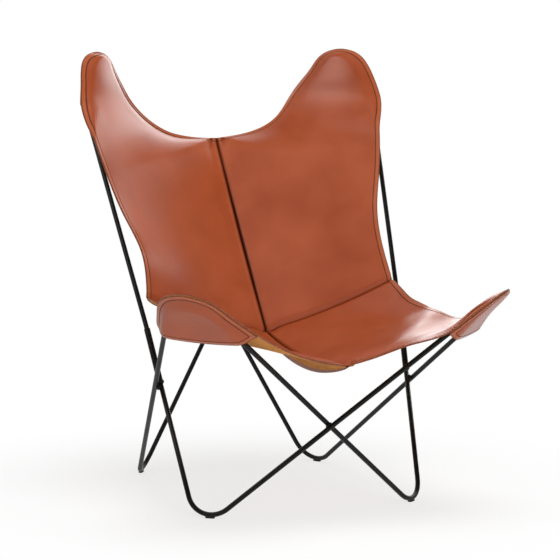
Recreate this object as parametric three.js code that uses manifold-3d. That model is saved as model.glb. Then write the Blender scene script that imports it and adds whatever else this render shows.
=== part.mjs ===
// Butterfly sling chair: two bent steel rods and two plug-in back hoops carry a four-panel leather sling by its four
// corner pockets. Millimetres, +Z up, the sitter faces -Y, the origin is on the floor under the middle of the chair.
import * as THREE from "three";
import { mergeVertices } from "three/addons/utils/BufferGeometryUtils.js";
import Module from "manifold-3d";

const wasm = await Module();
wasm.setup();

// Steel rod and its bends
const ROD_D = 10;
const FOOT_BEND_R = 52;
const FRONT_BEND_R = 65;
const CROWN_BEND_R = 48;
const SHOULDER_BEND_R = 150;
const ROD_SIDES = 12;
const BEND_STEP = 14 * THREE.MathUtils.DEG2RAD;
const WELD_GAP = 0.3;

// Corners of the rod's centre line before bending, right half, measured from the floor and the chair's mid plane
const FRONT_FOOT_X = 243.7;
const FRONT_FOOT_Y = -191;
const BACK_FOOT_X = 204.8;
const BACK_FOOT_Y = 337.4;
const FRONT_TIP_X = 363.2;
const FRONT_TIP_Y = -436.2;
const FRONT_TIP_Z = 500.9;
const SIDE_JOINT_X = 284.3;
const SIDE_JOINT_Y = 11.1;
const SIDE_JOINT_Z = 356.4;
const BACK_JOINT_X = 13.1;
const BACK_JOINT_Y = 368.4;
const BACK_JOINT_Z = 378.4;
const SHOULDER_X = 334;
const SHOULDER_Y = 280;
const SHOULDER_Z = 793.4;
const CROWN_X = 294;
const CROWN_Y = 373;
const CROWN_Z = 958.4;
const NAPE_X = 212;
const NAPE_Y = 396;
const NAPE_Z = 793.4;

// Sockets that the hoops plug into: one at each side, one behind the back on each hoop's rear leg
const SOCKET_D = 12.6;
const SOCKET_CLEARANCE = 0.3;
const SOCKET_L = 120;
const SOCKET_RELIEF = 1;
const PLUG_L = 52;
const PLUG_GAP = 4;
const RING_D = 16;
const RING_L = 7;

// Welds where the rods cross
const WELD_R = 8.5;

// Glides clipped under the feet
const GLIDE_L = 20;
const GLIDE_W = 9;
const GLIDE_T = 2;
const GLIDE_LIP = 2.4;

// Leather sling: sheet, seams and the free points of its outline, right half
const LEATHER_T = 3;
const SEAM_GAP = 0.4;
const SEAM_ROLL = 10;
const TOP_Y = 398;
const TOP_Z = 730.4;
const TOP_WAVE_X = 101;
const TOP_WAVE_Y = 402;
const TOP_WAVE_Z = 741.4;
const TOP_RISE_X = 160;
const TOP_RISE_Y = 419;
const TOP_RISE_Z = 774;
const TOP_TWIST = 6;
const CREASE_Y = 72;
const CREASE_Z = 333.4;
const HIP_X = 274;
const HIP_Y = 37;
const HIP_Z = 426.4;
const WAIST_X = 271;
const WAIST_Y = 82;
const WAIST_Z = 505;
const LOIN_X = 285;
const LOIN_Y = 144;
const LOIN_Z = 580;
const FLANK_X = 308;
const FLANK_Y = 185;
const FLANK_Z = 656.4;
const RIB_X = 331.5;
const RIB_Y = 233.5;
const RIB_Z = 733.4;
const LIP_Y = -375;
const LIP_Z = 313.8;
const LIP_WAVE_X = 57;
const LIP_WAVE_Y = -386;
const LIP_WAVE_Z = 327;
const LIP_RISE_X = 120;
const LIP_RISE_Y = -395;
const LIP_RISE_Z = 348;
const SEAT_SIDE_X = 270;
const SEAT_SIDE_Y = -78;
const SEAT_SIDE_Z = 399;
const SEAT_FLARE_X = 284;
const SEAT_FLARE_Y = -204;
const SEAT_FLARE_Z = 383;
const SEAT_SAG = 19;
const SEAT_HOLLOW = 12;
const BACK_HOLLOW = 10;
const FIN_DEPTH = 24;
const BACK_SEAM_DEPTH = 13;
const SEAM_END_DEPTH = 2.5;
const CREASE_HANG_Y = 0.5;
const CREASE_HANG_Z = -0.85;
const CREASE_DEPTH = 12;
const HIP_TWIST = 10;

// Corner pockets: how far the leather reaches past the rod's centre line, and how far each layer stands off it
const FRONT_REACH = 18.5;
const BACK_REACH = 26;
const BACK_REACH_IN = 24;
const BACK_REACH_LOW = 33.5;
const TIP_PULL = 5.5;
const INNER_PULL = 9;
const FRONT_NOSE_R = 56;
const FRONT_NOSE_FLAT = 12;
const BACK_NOSE_FLAT = 4;
const LIP_REACH = 46;
const FRONT_EDGE_TWIST = 4;
const PANEL_STAND = ROD_D / 2 + LEATHER_T / 2 + 0.5;
const POCKET_STAND = ROD_D / 2 + LEATHER_T / 2 + 0.9;
const MOUTH_SLACK = 3;
const HEM_W = 5.5;
const EDGE_LIFT = (LEATHER_T + SEAM_GAP) / 2;
const FRONT_POCKET_L = 222;
const BACK_POCKET_L = 180;
const POCKET_CORNER_REACH = 14;
const FRONT_MOUTH_SAG = 34;
const BACK_MOUTH_SAG = 20;

const LEFT = -1;
const RIGHT = 1;
const UP = new THREE.Vector3(0, 0, 1);
const vec = (x, y, z) => new THREE.Vector3(x, y, z);
const mix = (a, b, t) => a.clone().lerp(b, t);
const along = (p, dir, s) => p.clone().addScaledVector(dir, s);
const unit = (from, to) => to.clone().sub(from).normalize();
const smooth = (t) => THREE.MathUtils.smoothstep(t, 0, 1);

const steel = new THREE.MeshStandardMaterial({ color: 0x1d1c1d, roughness: 0.5, metalness: 0.35 });
const rubber = new THREE.MeshStandardMaterial({ color: 0x0e0e0f, roughness: 0.8, metalness: 0 });
const leather = new THREE.MeshStandardMaterial({ color: 0xa5552f, roughness: 0.42, metalness: 0 });

const chair = new THREE.Group();
function add(name, geometry, material) {
  const mesh = new THREE.Mesh(geometry, material);
  mesh.name = name;
  chair.add(mesh);
  return mesh;
}

// A path whose rings sit only where the rod starts or ends a bend, and every few degrees within one.
class RodPath extends THREE.Curve {
  constructor(corners, radii) {
    super();
    this.stations = [corners[0].clone()];
    for (let i = 1; i < corners.length - 1; i++) {
      const v = corners[i];
      const bend = bendAt(corners[i - 1], v, corners[i + 1], radii[i]);
      const steps = Math.max(2, Math.ceil((2 * bend.turn) / BEND_STEP));
      for (let k = 0; k <= steps; k++) this.stations.push(bend.at(bend.turn * (1 - (2 * k) / steps)));
    }
    this.stations.push(corners[corners.length - 1].clone());
  }
  getPoint(t) {
    const n = this.stations.length - 1;
    const i = Math.min(n - 1, Math.floor(t * n + 1e-9));
    return mix(this.stations[i], this.stations[i + 1], t * n - i);
  }
  getPointAt(u) {
    return this.getPoint(u);
  }
  getTangentAt(u) {
    const n = this.stations.length - 1;
    const i = Math.round(u * n);
    return unit(this.stations[Math.max(0, i - 1)], this.stations[Math.min(n, i + 1)]);
  }
}

// The round bend of radius r at v between the legs to a and b: its centre, its axis towards v and the side of a.
function bendAt(a, v, b, r) {
  const toA = unit(v, a);
  const toB = unit(v, b);
  const half = toA.angleTo(toB) / 2;
  const down = toA.clone().add(toB).normalize();
  const centre = along(v, down, r / Math.sin(half));
  const up = down.clone().negate();
  const side = toA.clone().addScaledVector(up, -toA.dot(up)).normalize();
  const turn = Math.PI / 2 - half;
  const at = (angle, radius = r) => {
    return along(along(centre, up, radius * Math.cos(angle)), side, radius * Math.sin(angle));
  };
  return { v, toA, toB, centre, up, side, turn, r, at, normal: toA.clone().cross(toB).normalize() };
}

function rodGeometry(path, radius) {
  const shape = new THREE.Shape();
  shape.absarc(0, 0, radius, 0, 2 * Math.PI);
  const options = { steps: path.stations.length - 1, extrudePath: path, bevelEnabled: false };
  return new THREE.ExtrudeGeometry(shape, { ...options, curveSegments: ROD_SIDES / 2 });
}

// A turned piece along the line from a towards b.
function turned(profile, a, b, segments = 20) {
  const points = profile.map(([r, s]) => new THREE.Vector2(r, s));
  const geometry = new THREE.LatheGeometry(points, segments);
  const q = new THREE.Quaternion().setFromUnitVectors(vec(0, 1, 0), unit(a, b));
  return geometry.applyQuaternion(q).translate(a.x, a.y, a.z);
}

function toSolid(geometry) {
  const bare = new THREE.BufferGeometry();
  const source = geometry.index ? geometry.toNonIndexed() : geometry;
  bare.setAttribute("position", source.getAttribute("position").clone());
  const merged = mergeVertices(bare, 1e-4);
  const vertProperties = new Float32Array(merged.getAttribute("position").array);
  const triVerts = new Uint32Array(merged.index.array);
  return new wasm.Manifold(new wasm.Mesh({ numProp: 3, vertProperties, triVerts }));
}

function fromSolid(solid) {
  const mesh = solid.getMesh();
  const geometry = new THREE.BufferGeometry();
  geometry.setAttribute("position", new THREE.BufferAttribute(new Float32Array(mesh.vertProperties), 3));
  geometry.setIndex(new THREE.BufferAttribute(new Uint32Array(mesh.triVerts), 1));
  geometry.computeVertexNormals();
  return geometry;
}

// The two base rods pass side by side at the front: each loop stands off the mid crossing by half a rod.
const front_rise = vec(0, FRONT_TIP_Y - FRONT_FOOT_Y, FRONT_TIP_Z).normalize();
const LOOP_OFFSET = (ROD_D + WELD_GAP) / 2 / front_rise.z;

// The height of a foot's corner that lets its round bend, on its glide, just reach the floor.
function footCorner(x, y, a, b) {
  const corner = vec(x, y, 0);
  for (let i = 0; i < 6; i++) {
    const bend = bendAt(a, corner, b, FOOT_BEND_R);
    const flat = Math.sqrt(1 - bend.normal.z ** 2);
    corner.z += ROD_D / 2 + GLIDE_T - (bend.centre.z - FOOT_BEND_R * flat);
  }
  return corner;
}

// One loop of the frame. It carries the front tip of one side and the back hoop of the other.
function loopCorners(tipSide) {
  const y = tipSide === RIGHT ? -LOOP_OFFSET : LOOP_OFFSET;
  const at = (side, px, py, pz) => vec(side * px, py + y, pz);
  const hoopSide = -tipSide;
  const sideJoint = at(hoopSide, SIDE_JOINT_X, SIDE_JOINT_Y, SIDE_JOINT_Z);
  const backJoint = at(hoopSide, BACK_JOINT_X, BACK_JOINT_Y, BACK_JOINT_Z);
  const tip = at(tipSide, FRONT_TIP_X, FRONT_TIP_Y, FRONT_TIP_Z);
  const frontFoot = footCorner(hoopSide * FRONT_FOOT_X, FRONT_FOOT_Y + y, sideJoint, tip);
  const backFoot = footCorner(tipSide * BACK_FOOT_X, BACK_FOOT_Y + y, tip, backJoint);
  return {
    sideJoint,
    backJoint,
    tip,
    frontFoot,
    backFoot,
    shoulder: at(hoopSide, SHOULDER_X, SHOULDER_Y, SHOULDER_Z),
    crown: at(hoopSide, CROWN_X, CROWN_Y, CROWN_Z),
    nape: at(hoopSide, NAPE_X, NAPE_Y, NAPE_Z),
  };
}

// A side socket stands below its joint, on the base rod; a back socket stands above, on the line of the hoop.
function socketSeats(loop) {
  const sideAxis = unit(loop.frontFoot, loop.sideJoint);
  const backAxis = unit(loop.backJoint, loop.nape);
  return {
    side: { axis: sideAxis, foot: along(loop.sideJoint, sideAxis, -SOCKET_RELIEF - SOCKET_L) },
    back: { axis: backAxis, foot: along(loop.backJoint, backAxis, SOCKET_RELIEF) },
  };
}

const loops = { [RIGHT]: loopCorners(RIGHT), [LEFT]: loopCorners(LEFT) };
const word = { [RIGHT]: "right", [LEFT]: "left" };
const rods = {};

for (const tipSide of [LEFT, RIGHT]) {
  const c = loops[tipSide];
  const hoopSide = -tipSide;
  const seats = socketSeats(c);
  const basePath = new RodPath(
    [
      along(seats.side.foot, seats.side.axis, SOCKET_L - PLUG_L - PLUG_GAP),
      c.frontFoot,
      c.tip,
      c.backFoot,
      c.backJoint,
      along(seats.back.foot, seats.back.axis, SOCKET_L - PLUG_L - PLUG_GAP),
    ],
    [0, FOOT_BEND_R, FRONT_BEND_R, FOOT_BEND_R, ROD_D, 0],
  );
  const hoopPath = new RodPath(
    [
      along(seats.side.foot, seats.side.axis, SOCKET_L - PLUG_L),
      c.sideJoint,
      c.shoulder,
      c.crown,
      c.nape,
      along(seats.back.foot, seats.back.axis, SOCKET_L - PLUG_L),
    ],
    [0, ROD_D, SHOULDER_BEND_R, CROWN_BEND_R, SHOULDER_BEND_R, 0],
  );
  rods[tipSide] = { basePath, hoopPath };
  add("base_rod_" + word[tipSide], rodGeometry(basePath, ROD_D / 2), steel);
  add("back_hoop_" + word[hoopSide], rodGeometry(hoopPath, ROD_D / 2), steel);

  // Each socket is a tube on a weld ring that closes its lower end against the base rod.
  const bore = ROD_D / 2 + SOCKET_CLEARANCE;
  for (const [place, { foot, axis }] of Object.entries(seats)) {
    const top = along(foot, axis, SOCKET_L);
    const r = SOCKET_D / 2;
    const l = SOCKET_L - RING_L - WELD_GAP;
    const tube = [[bore, 0], [r, 0], [r, l - 0.6], [r - 0.6, l], [bore, l], [bore, 0]];
    add(`${place}_socket_${word[hoopSide]}`, turned(tube, along(foot, axis, RING_L + WELD_GAP), top), steel);
    const ring = [
      [bore, 0],
      [RING_D / 2 - 1.4, 0],
      [RING_D / 2, RING_L * 0.3],
      [RING_D / 2, RING_L * 0.7],
      [r, RING_L],
      [bore, RING_L],
      [bore, 0],
    ];
    add(`${place}_ring_${word[hoopSide]}`, turned(ring, foot, top), steel);
  }
}

// Where two straight legs pass each other: the nearest points on both.
function crossing(a, b, c, d) {
  const u = b.clone().sub(a);
  const w = d.clone().sub(c);
  const r = a.clone().sub(c);
  const uu = u.dot(u);
  const ww = w.dot(w);
  const uw = u.dot(w);
  const s = (uw * w.dot(r) - ww * u.dot(r)) / (uu * ww - uw * uw);
  const t = (uu * w.dot(r) - uw * u.dot(r)) / (uu * ww - uw * uw);
  return [along(a, u, s), along(c, w, t)];
}

// A weld bead at a crossing: a ball of metal around the nearest points, less both rods and what else stands there.
function weld(name, from, to, keepOut) {
  const ball = new THREE.SphereGeometry(WELD_R, 14, 10);
  const middle = mix(from, to, 0.5);
  ball.translate(middle.x, middle.y, middle.z);
  let solid = toSolid(ball);
  for (const geometry of keepOut) solid = solid.subtract(toSolid(geometry));
  add(name, fromSolid(solid), steel);
}

const paths = { [RIGHT]: rods[RIGHT], [LEFT]: rods[LEFT] };
const clear = ROD_D / 2 + WELD_GAP;
const grown = (path) => rodGeometry(path, clear / Math.cos(Math.PI / ROD_SIDES));
const R = loops[RIGHT];
const L = loops[LEFT];
const [frontA, frontB] = crossing(R.frontFoot, R.tip, L.frontFoot, L.tip);
weld("front_weld", frontA, frontB, [grown(paths[RIGHT].basePath), grown(paths[LEFT].basePath)]);
const [backA, backB] = crossing(R.backFoot, R.backJoint, L.backFoot, L.backJoint);
weld("back_weld", backA, backB, [grown(paths[RIGHT].basePath), grown(paths[LEFT].basePath)]);
for (const side of [LEFT, RIGHT]) {
  const own = loops[-side];
  const other = loops[side];
  const [onSocket, onRod] = crossing(own.frontFoot, own.sideJoint, other.tip, other.backFoot);
  const { foot, axis } = socketSeats(own).side;
  const post = (r, l) => turned([[0, 0], [r, 0], [r, l], [0, l]], along(foot, axis, -WELD_GAP), own.sideJoint);
  weld("side_weld_" + word[side], onSocket, onRod, [
    post(SOCKET_D / 2 + WELD_GAP, SOCKET_L),
    post(RING_D / 2 + WELD_GAP, RING_L + 2 * WELD_GAP),
    grown(paths[-side].basePath),
    grown(paths[side].basePath),
  ]);
}

// Glides: pads under the lowest point of each foot, hollowed to seat the rod.
for (const side of [LEFT, RIGHT]) {
  for (const [place, path, corner] of [
    ["front", paths[-side].basePath, loops[-side].frontFoot],
    ["back", paths[side].basePath, loops[side].backFoot],
  ]) {
    const bend = place === "front"
      ? bendAt(loops[-side].sideJoint, corner, loops[-side].tip, FOOT_BEND_R)
      : bendAt(loops[side].tip, corner, loops[side].backJoint, FOOT_BEND_R);
    const drop = UP.clone().addScaledVector(bend.normal, -UP.dot(bend.normal)).normalize();
    const low = along(bend.centre, drop, -FOOT_BEND_R);
    const run = bend.normal.clone().cross(drop).setZ(0).normalize();
    const shape = new THREE.Shape();
    const half = GLIDE_L / 2 - GLIDE_W / 2;
    shape.absarc(half, 0, GLIDE_W / 2, -Math.PI / 2, Math.PI / 2);
    shape.absarc(-half, 0, GLIDE_W / 2, Math.PI / 2, (3 * Math.PI) / 2);
    const pad = new THREE.ExtrudeGeometry(shape, { depth: GLIDE_T + GLIDE_LIP, bevelEnabled: false, curveSegments: 6 });
    pad.rotateZ(Math.atan2(run.y, run.x)).translate(low.x, low.y, 0);
    const solid = toSolid(pad).subtract(toSolid(grown(path)));
    add(`${place}_glide_${word[side]}`, fromSolid(solid), rubber);
  }
}

// A closed sheet of even thickness about a grid of mid-surface points.
function sheet(rows, thickness) {
  const m = rows.length;
  const n = rows[0].length;
  const normals = gridNormals(rows);
  const positions = [];
  for (const side of [0.5, -0.5]) {
    for (let i = 0; i < m; i++) {
      for (let j = 0; j < n; j++) {
        const p = along(rows[i][j], normals[i][j], side * thickness);
        positions.push(p.x, p.y, p.z);
      }
    }
  }
  const id = (layer, i, j) => layer * m * n + i * n + j;
  const index = [];
  const quad = (a, b, c, d) => index.push(a, b, c, a, c, d);
  for (let i = 0; i < m - 1; i++) {
    for (let j = 0; j < n - 1; j++) {
      quad(id(0, i, j), id(0, i, j + 1), id(0, i + 1, j + 1), id(0, i + 1, j));
      quad(id(1, i, j), id(1, i + 1, j), id(1, i + 1, j + 1), id(1, i, j + 1));
    }
  }
  const rim = [];
  for (let j = 0; j < n - 1; j++) rim.push([0, j]);
  for (let i = 0; i < m - 1; i++) rim.push([i, n - 1]);
  for (let j = n - 1; j > 0; j--) rim.push([m - 1, j]);
  for (let i = m - 1; i > 0; i--) rim.push([i, 0]);
  rim.forEach(([i, j], k) => {
    const [p, q] = rim[(k + 1) % rim.length];
    quad(id(0, i, j), id(1, i, j), id(1, p, q), id(0, p, q));
  });
  const geometry = new THREE.BufferGeometry();
  geometry.setAttribute("position", new THREE.Float32BufferAttribute(positions, 3));
  geometry.setIndex(index);
  if (signedVolume(geometry) < 0) geometry.setIndex(flipped(index));
  geometry.computeVertexNormals();
  return geometry;
}

function gridNormals(rows) {
  const m = rows.length;
  const n = rows[0].length;
  return rows.map((row, i) =>
    row.map((_, j) => {
      const du = row[Math.min(n - 1, j + 1)].clone().sub(row[Math.max(0, j - 1)]);
      const dv = rows[Math.min(m - 1, i + 1)][j].clone().sub(rows[Math.max(0, i - 1)][j]);
      return du.cross(dv).normalize();
    }),
  );
}

function signedVolume(geometry) {
  const p = geometry.getAttribute("position");
  const at = (i) => new THREE.Vector3().fromBufferAttribute(p, i);
  let sum = 0;
  const index = geometry.index.array;
  for (let i = 0; i < index.length; i += 3) sum += at(index[i]).dot(at(index[i + 1]).cross(at(index[i + 2])));
  return sum;
}

function flipped(index) {
  const out = [];
  for (let i = 0; i < index.length; i += 3) out.push(index[i], index[i + 2], index[i + 1]);
  return out;
}

// How far a layer has risen at distance d from a sewn edge: flat in the hem, full beyond it.
const rise = (d) => 1 - Math.exp(-((d / HEM_W) ** 3));

// The outline of one tip in its rods' plane: a round end, then a margin along each rod.
function tipOutline(bend, reach) {
  const outA = bend.toA.clone().addScaledVector(bend.up, -bend.toA.dot(bend.up)).normalize();
  const acrossA = outA.clone().addScaledVector(bend.toA, -outA.dot(bend.toA)).normalize();
  const outB = outA.clone().negate();
  const acrossB = outB.clone().addScaledVector(bend.toB, -outB.dot(bend.toB)).normalize();
  return {
    round: (angle, extra = 0) => bend.at(angle, bend.r + reach + extra),
    sideA: (s, margin) => along(along(bend.v, bend.toA, s), acrossA, margin),
    sideB: (s, margin) => along(along(bend.v, bend.toB, s), acrossB, margin),
  };
}

// One half of the sling's outline, from key points at matching stations on its inner and outer edges.
function outline(side) {
  const at = (x, y, z) => vec(side * x, y, z);
  const onHoop = (x, y, z, share) => at(x, y + side * LOOP_OFFSET * share, z);
  const onTop = (x, y, z, share) => onHoop(x, y, z + side * TOP_TWIST, share);
  const onLip = (x, y, z) => at(x, y, z - (side * FRONT_EDGE_TWIST) / 2);
  const front = loops[side];
  const back = loops[-side];
  const frontBend = bendAt(front.backFoot, front.tip, front.frontFoot, FRONT_NOSE_R);
  const backBend = bendAt(back.shoulder, back.crown, back.nape, CROWN_BEND_R);
  const frontTip = tipOutline(frontBend, FRONT_REACH - side * TIP_PULL);
  const backTip = tipOutline(backBend, BACK_REACH + side * TIP_PULL);
  const nose = THREE.MathUtils.degToRad(15);
  const cheek = THREE.MathUtils.degToRad(42);
  const hip = at(HIP_X, HIP_Y, HIP_Z + side * HIP_TWIST);
  const top = vec(0, TOP_Y, TOP_Z);
  const crease = vec(0, CREASE_Y, CREASE_Z);
  const lip = vec(0, LIP_Y, LIP_Z);
  const seat = (t) => along(mix(crease, lip, t), UP, -SEAT_SAG * 4 * t * (1 - t));
  const frontReach = FRONT_REACH - side * TIP_PULL;
  const backReach = BACK_REACH + side * TIP_PULL;
  const inward = BACK_REACH_IN - BACK_REACH;
  const innerReach = BACK_REACH + side * INNER_PULL;
  const low = BACK_REACH_LOW - BACK_REACH;
  return {
    frontBend,
    backBend,
    back: {
      inner: [
        backTip.round(-nose),
        backTip.round(-cheek, inward),
        backTip.round(-backBend.turn, inward * 1.5),
        backTip.sideB(BACK_POCKET_L * 0.76, innerReach + low / 3),
        backTip.sideB(BACK_POCKET_L * 0.92, innerReach + low),
        onTop(TOP_RISE_X, TOP_RISE_Y, TOP_RISE_Z, 0.6),
        onTop(TOP_WAVE_X, TOP_WAVE_Y, TOP_WAVE_Z, 0),
        top,
        mix(top, crease, 0.38),
        mix(top, crease, 0.72),
        crease,
      ],
      outer: [
        backTip.round(nose),
        backTip.round(cheek),
        backTip.round(backBend.turn),
        backTip.sideA(BACK_POCKET_L * 0.78, backReach),
        backTip.sideA(BACK_POCKET_L, backReach - 5),
        mix(backTip.sideA(BACK_POCKET_L, backReach - 5), onHoop(RIB_X, RIB_Y, RIB_Z, 1), 0.5),
        onHoop(RIB_X, RIB_Y, RIB_Z, 1),
        onHoop(FLANK_X, FLANK_Y, FLANK_Z, 0.8),
        onHoop(LOIN_X, LOIN_Y, LOIN_Z, 0.4),
        at(WAIST_X, WAIST_Y, WAIST_Z),
        hip,
      ],
    },
    seat: {
      inner: [
        frontTip.round(-nose),
        frontTip.round(-cheek),
        frontTip.round(-frontBend.turn),
        frontTip.sideB(FRONT_POCKET_L * 0.75, frontReach + 8),
        frontTip.sideB(FRONT_POCKET_L * 0.955, LIP_REACH),
        onLip(LIP_RISE_X, LIP_RISE_Y, LIP_RISE_Z),
        onLip(LIP_WAVE_X, LIP_WAVE_Y, LIP_WAVE_Z),
        lip,
        seat(0.72),
        seat(0.46),
        seat(0.21),
        crease,
      ],
      outer: [
        frontTip.round(nose),
        frontTip.round(cheek),
        frontTip.round(frontBend.turn),
        frontTip.sideA(FRONT_POCKET_L * 0.79, frontReach - 2),
        frontTip.sideA(FRONT_POCKET_L, POCKET_CORNER_REACH),
        mix(frontTip.sideA(FRONT_POCKET_L, POCKET_CORNER_REACH), at(SEAT_FLARE_X, SEAT_FLARE_Y, SEAT_FLARE_Z), 0.55),
        at(SEAT_FLARE_X, SEAT_FLARE_Y, SEAT_FLARE_Z),
        mix(at(SEAT_FLARE_X, SEAT_FLARE_Y, SEAT_FLARE_Z), at(SEAT_SIDE_X, SEAT_SIDE_Y, SEAT_SIDE_Z), 0.4),
        mix(at(SEAT_FLARE_X, SEAT_FLARE_Y, SEAT_FLARE_Z), at(SEAT_SIDE_X, SEAT_SIDE_Y, SEAT_SIDE_Z), 0.75),
        at(SEAT_SIDE_X, SEAT_SIDE_Y, SEAT_SIDE_Z),
        mix(at(SEAT_SIDE_X, SEAT_SIDE_Y, SEAT_SIDE_Z), hip, 0.55),
        hip,
      ],
    },
  };
}

// An edge through key points one station apart, with a corner at station `turn`, where a free edge meets a seam.
function edgeThrough(points, turn = points.length - 1) {
  const last = points.length - 1;
  const free = new THREE.CatmullRomCurve3(points.slice(0, turn + 1), false, "centripetal");
  const seam = turn < last ? new THREE.CatmullRomCurve3(points.slice(turn), false, "centripetal") : free;
  const pick = (st) => (st <= turn ? [free, st / turn] : [seam, Math.min(1, (st - turn) / (last - turn))]);
  return {
    at(st) {
      const [curve, t] = pick(st);
      return curve.getPoint(t);
    },
    tangent(st) {
      const [curve, t] = pick(st);
      return curve.getTangent(t);
    },
  };
}

const SEAM_AT = 7;
const EDGE_STEPS = [0, 4, 8, 12, 18];
const MIDDLE_STEPS = 4;
const LIFT_FADE = 3;

// Distances of a row's points from its inner end: close together along both edges, where the hems and seams are.
function spread(length) {
  const scale = Math.min(1, length / 52);
  const near = EDGE_STEPS.map((d) => d * scale);
  const edge = near[near.length - 1];
  const middle = [];
  for (let k = 1; k < MIDDLE_STEPS; k++) middle.push(edge + ((length - 2 * edge) * k) / MIDDLE_STEPS);
  return [...near, ...middle, ...near.map((d) => length - d).reverse()];
}

// A seam's section: from SEAM_ROLL short of the seam (t = 0) the leather rounds under to hang `depth` deep (t = 1).
function rollUnder(t, depth) {
  const end = THREE.MathUtils.lerp(LEATHER_T * 0.4, EDGE_LIFT + SEAM_GAP / 4, smooth(depth / (2 * LEATHER_T)));
  const u = 1 - t;
  return {
    away: u ** 3 * (end + SEAM_ROLL) + 3 * u ** 2 * t * (end + 2) + (3 * u * t ** 2 + t ** 3) * end,
    down: 3 * u * t ** 2 * 0.35 * depth + t ** 3 * depth,
  };
}

// Full depth along a seam's middle, little at its ends.
function seamDepth(full, t) {
  return SEAM_END_DEPTH + (full - SEAM_END_DEPTH) * Math.sin(Math.PI * THREE.MathUtils.clamp(t, 0, 1)) ** 0.7;
}

// The rows of one panel, from its tip to the crease. Up to station SEAM_AT the inner edge is free; beyond it the
// inner edge is the middle seam, where the leather rolls under. At the crease the last rows roll under as well.
function panelRows(half, bend, side, opts) {
  const inner = edgeThrough(half.inner, SEAM_AT);
  const outer = edgeThrough(half.outer);
  const last = half.inner.length - 1;
  const stations = [];
  opts.parts.forEach((parts, i) => {
    for (let k = 0; k < parts; k++) stations.push(i + k / parts);
  });
  stations.push(last);
  const face = bend.normal.clone().multiplyScalar(Math.sign(bend.normal.dot(opts.face)));
  const edgeAt = opts.edge + EDGE_LIFT;
  const lift = [];
  const base = stations.map((st) => {
    const a = inner.at(st);
    const b = outer.at(st);
    const length = a.distanceTo(b);
    const under = vec(1, 0, 0).cross(inner.tangent(st + 0.01)).normalize();
    if (under.dot(opts.face) > 0) under.negate();
    const onTip = (w) => {
      const from = THREE.MathUtils.lerp(opts.tipEnd - opts.innerLead, opts.tipEnd, w);
      return 1 - smooth((st - from) / THREE.MathUtils.lerp(LIFT_FADE / (1 + opts.innerLead), LIFT_FADE, w));
    };
    const depth = seamDepth(opts.depth, (st - SEAM_AT) / (last - SEAM_AT));
    const distances = spread(length);
    lift.push(
      distances.map((d) => {
        const w = d / length;
        const risen = rise(st === 0 ? 0 : Math.min(d, length - d, opts.nose(st)));
        const hollow = opts.hollow * 4 * w * (1 - w) * smooth((st - opts.hollowFrom) / 2);
        return onTip(w) * (edgeAt + (PANEL_STAND - edgeAt) * risen) - hollow;
      }),
    );
    return distances.map((d, j) => {
      if (st < SEAM_AT || j >= EDGE_STEPS.length) return along(a, unit(a, b), d);
      const { away, down } = rollUnder(1 - j / (EDGE_STEPS.length - 1), depth);
      return along(a.clone().setX(side * away), under, down);
    });
  });
  const normals = gridNormals(base);
  const sign = Math.sign(normals[Math.floor(base.length / 2)][EDGE_STEPS.length + 1].dot(opts.face));
  const rows = base.map((row, i) =>
    row.map((p, j) => {
      const free = smooth((stations[i] - opts.tipEnd) / LIFT_FADE);
      const dir = normals[i][j].clone().multiplyScalar(sign).lerp(face, 1 - free).normalize();
      return along(p, dir, lift[i][j]);
    }),
  );
  const crease = rows.pop();
  const before = rows[rows.length - 1];
  const n = crease.length;
  for (const t of [0, 0.25, 0.5, 0.75, 1]) {
    rows.push(
      crease.map((p, j) => {
        const back = unit(p, before[j]);
        const hang = vec(0, CREASE_HANG_Y, CREASE_HANG_Z).normalize();
        const own = back.clone().addScaledVector(hang, -back.dot(hang)).normalize();
        const { away, down } = rollUnder(t, seamDepth(CREASE_DEPTH, j / (n - 1)));
        const start = along(p, back, (1 - t) ** 2 * away);
        return along(along(start, own, away * (1 - (1 - t) ** 2)), hang, down);
      }),
    );
  }
  return rows;
}

// The rows of one pocket: the same outline as the panel's tip, standing off the other side of the rods.
function pocketRows(half, bend, opts) {
  const inner = edgeThrough(half.inner, SEAM_AT);
  const outer = edgeThrough(half.outer);
  const face = bend.normal.clone().multiplyScalar(Math.sign(bend.normal.dot(opts.face)));
  const edgeAt = opts.edge - EDGE_LIFT;
  const rows = [];
  for (let i = 0; i <= opts.rows; i++) {
    const t = i / opts.rows;
    const a = inner.at(opts.innerEnd * t);
    const b = outer.at(opts.outerEnd * t);
    const length = a.distanceTo(b);
    rows.push(
      spread(length).map((d) => {
        const w = d / length;
        const risen = rise(i === 0 ? 0 : Math.min(d, length - d, opts.nose(opts.innerEnd * t)));
        const p = along(along(a, unit(a, b), d), bend.up, -opts.sag * t ** 2 * 4 * w * (1 - w));
        return along(p, face, edgeAt - (POCKET_STAND + MOUTH_SLACK * t ** 2 + edgeAt) * risen);
      }),
    );
  }
  return rows;
}

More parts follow.
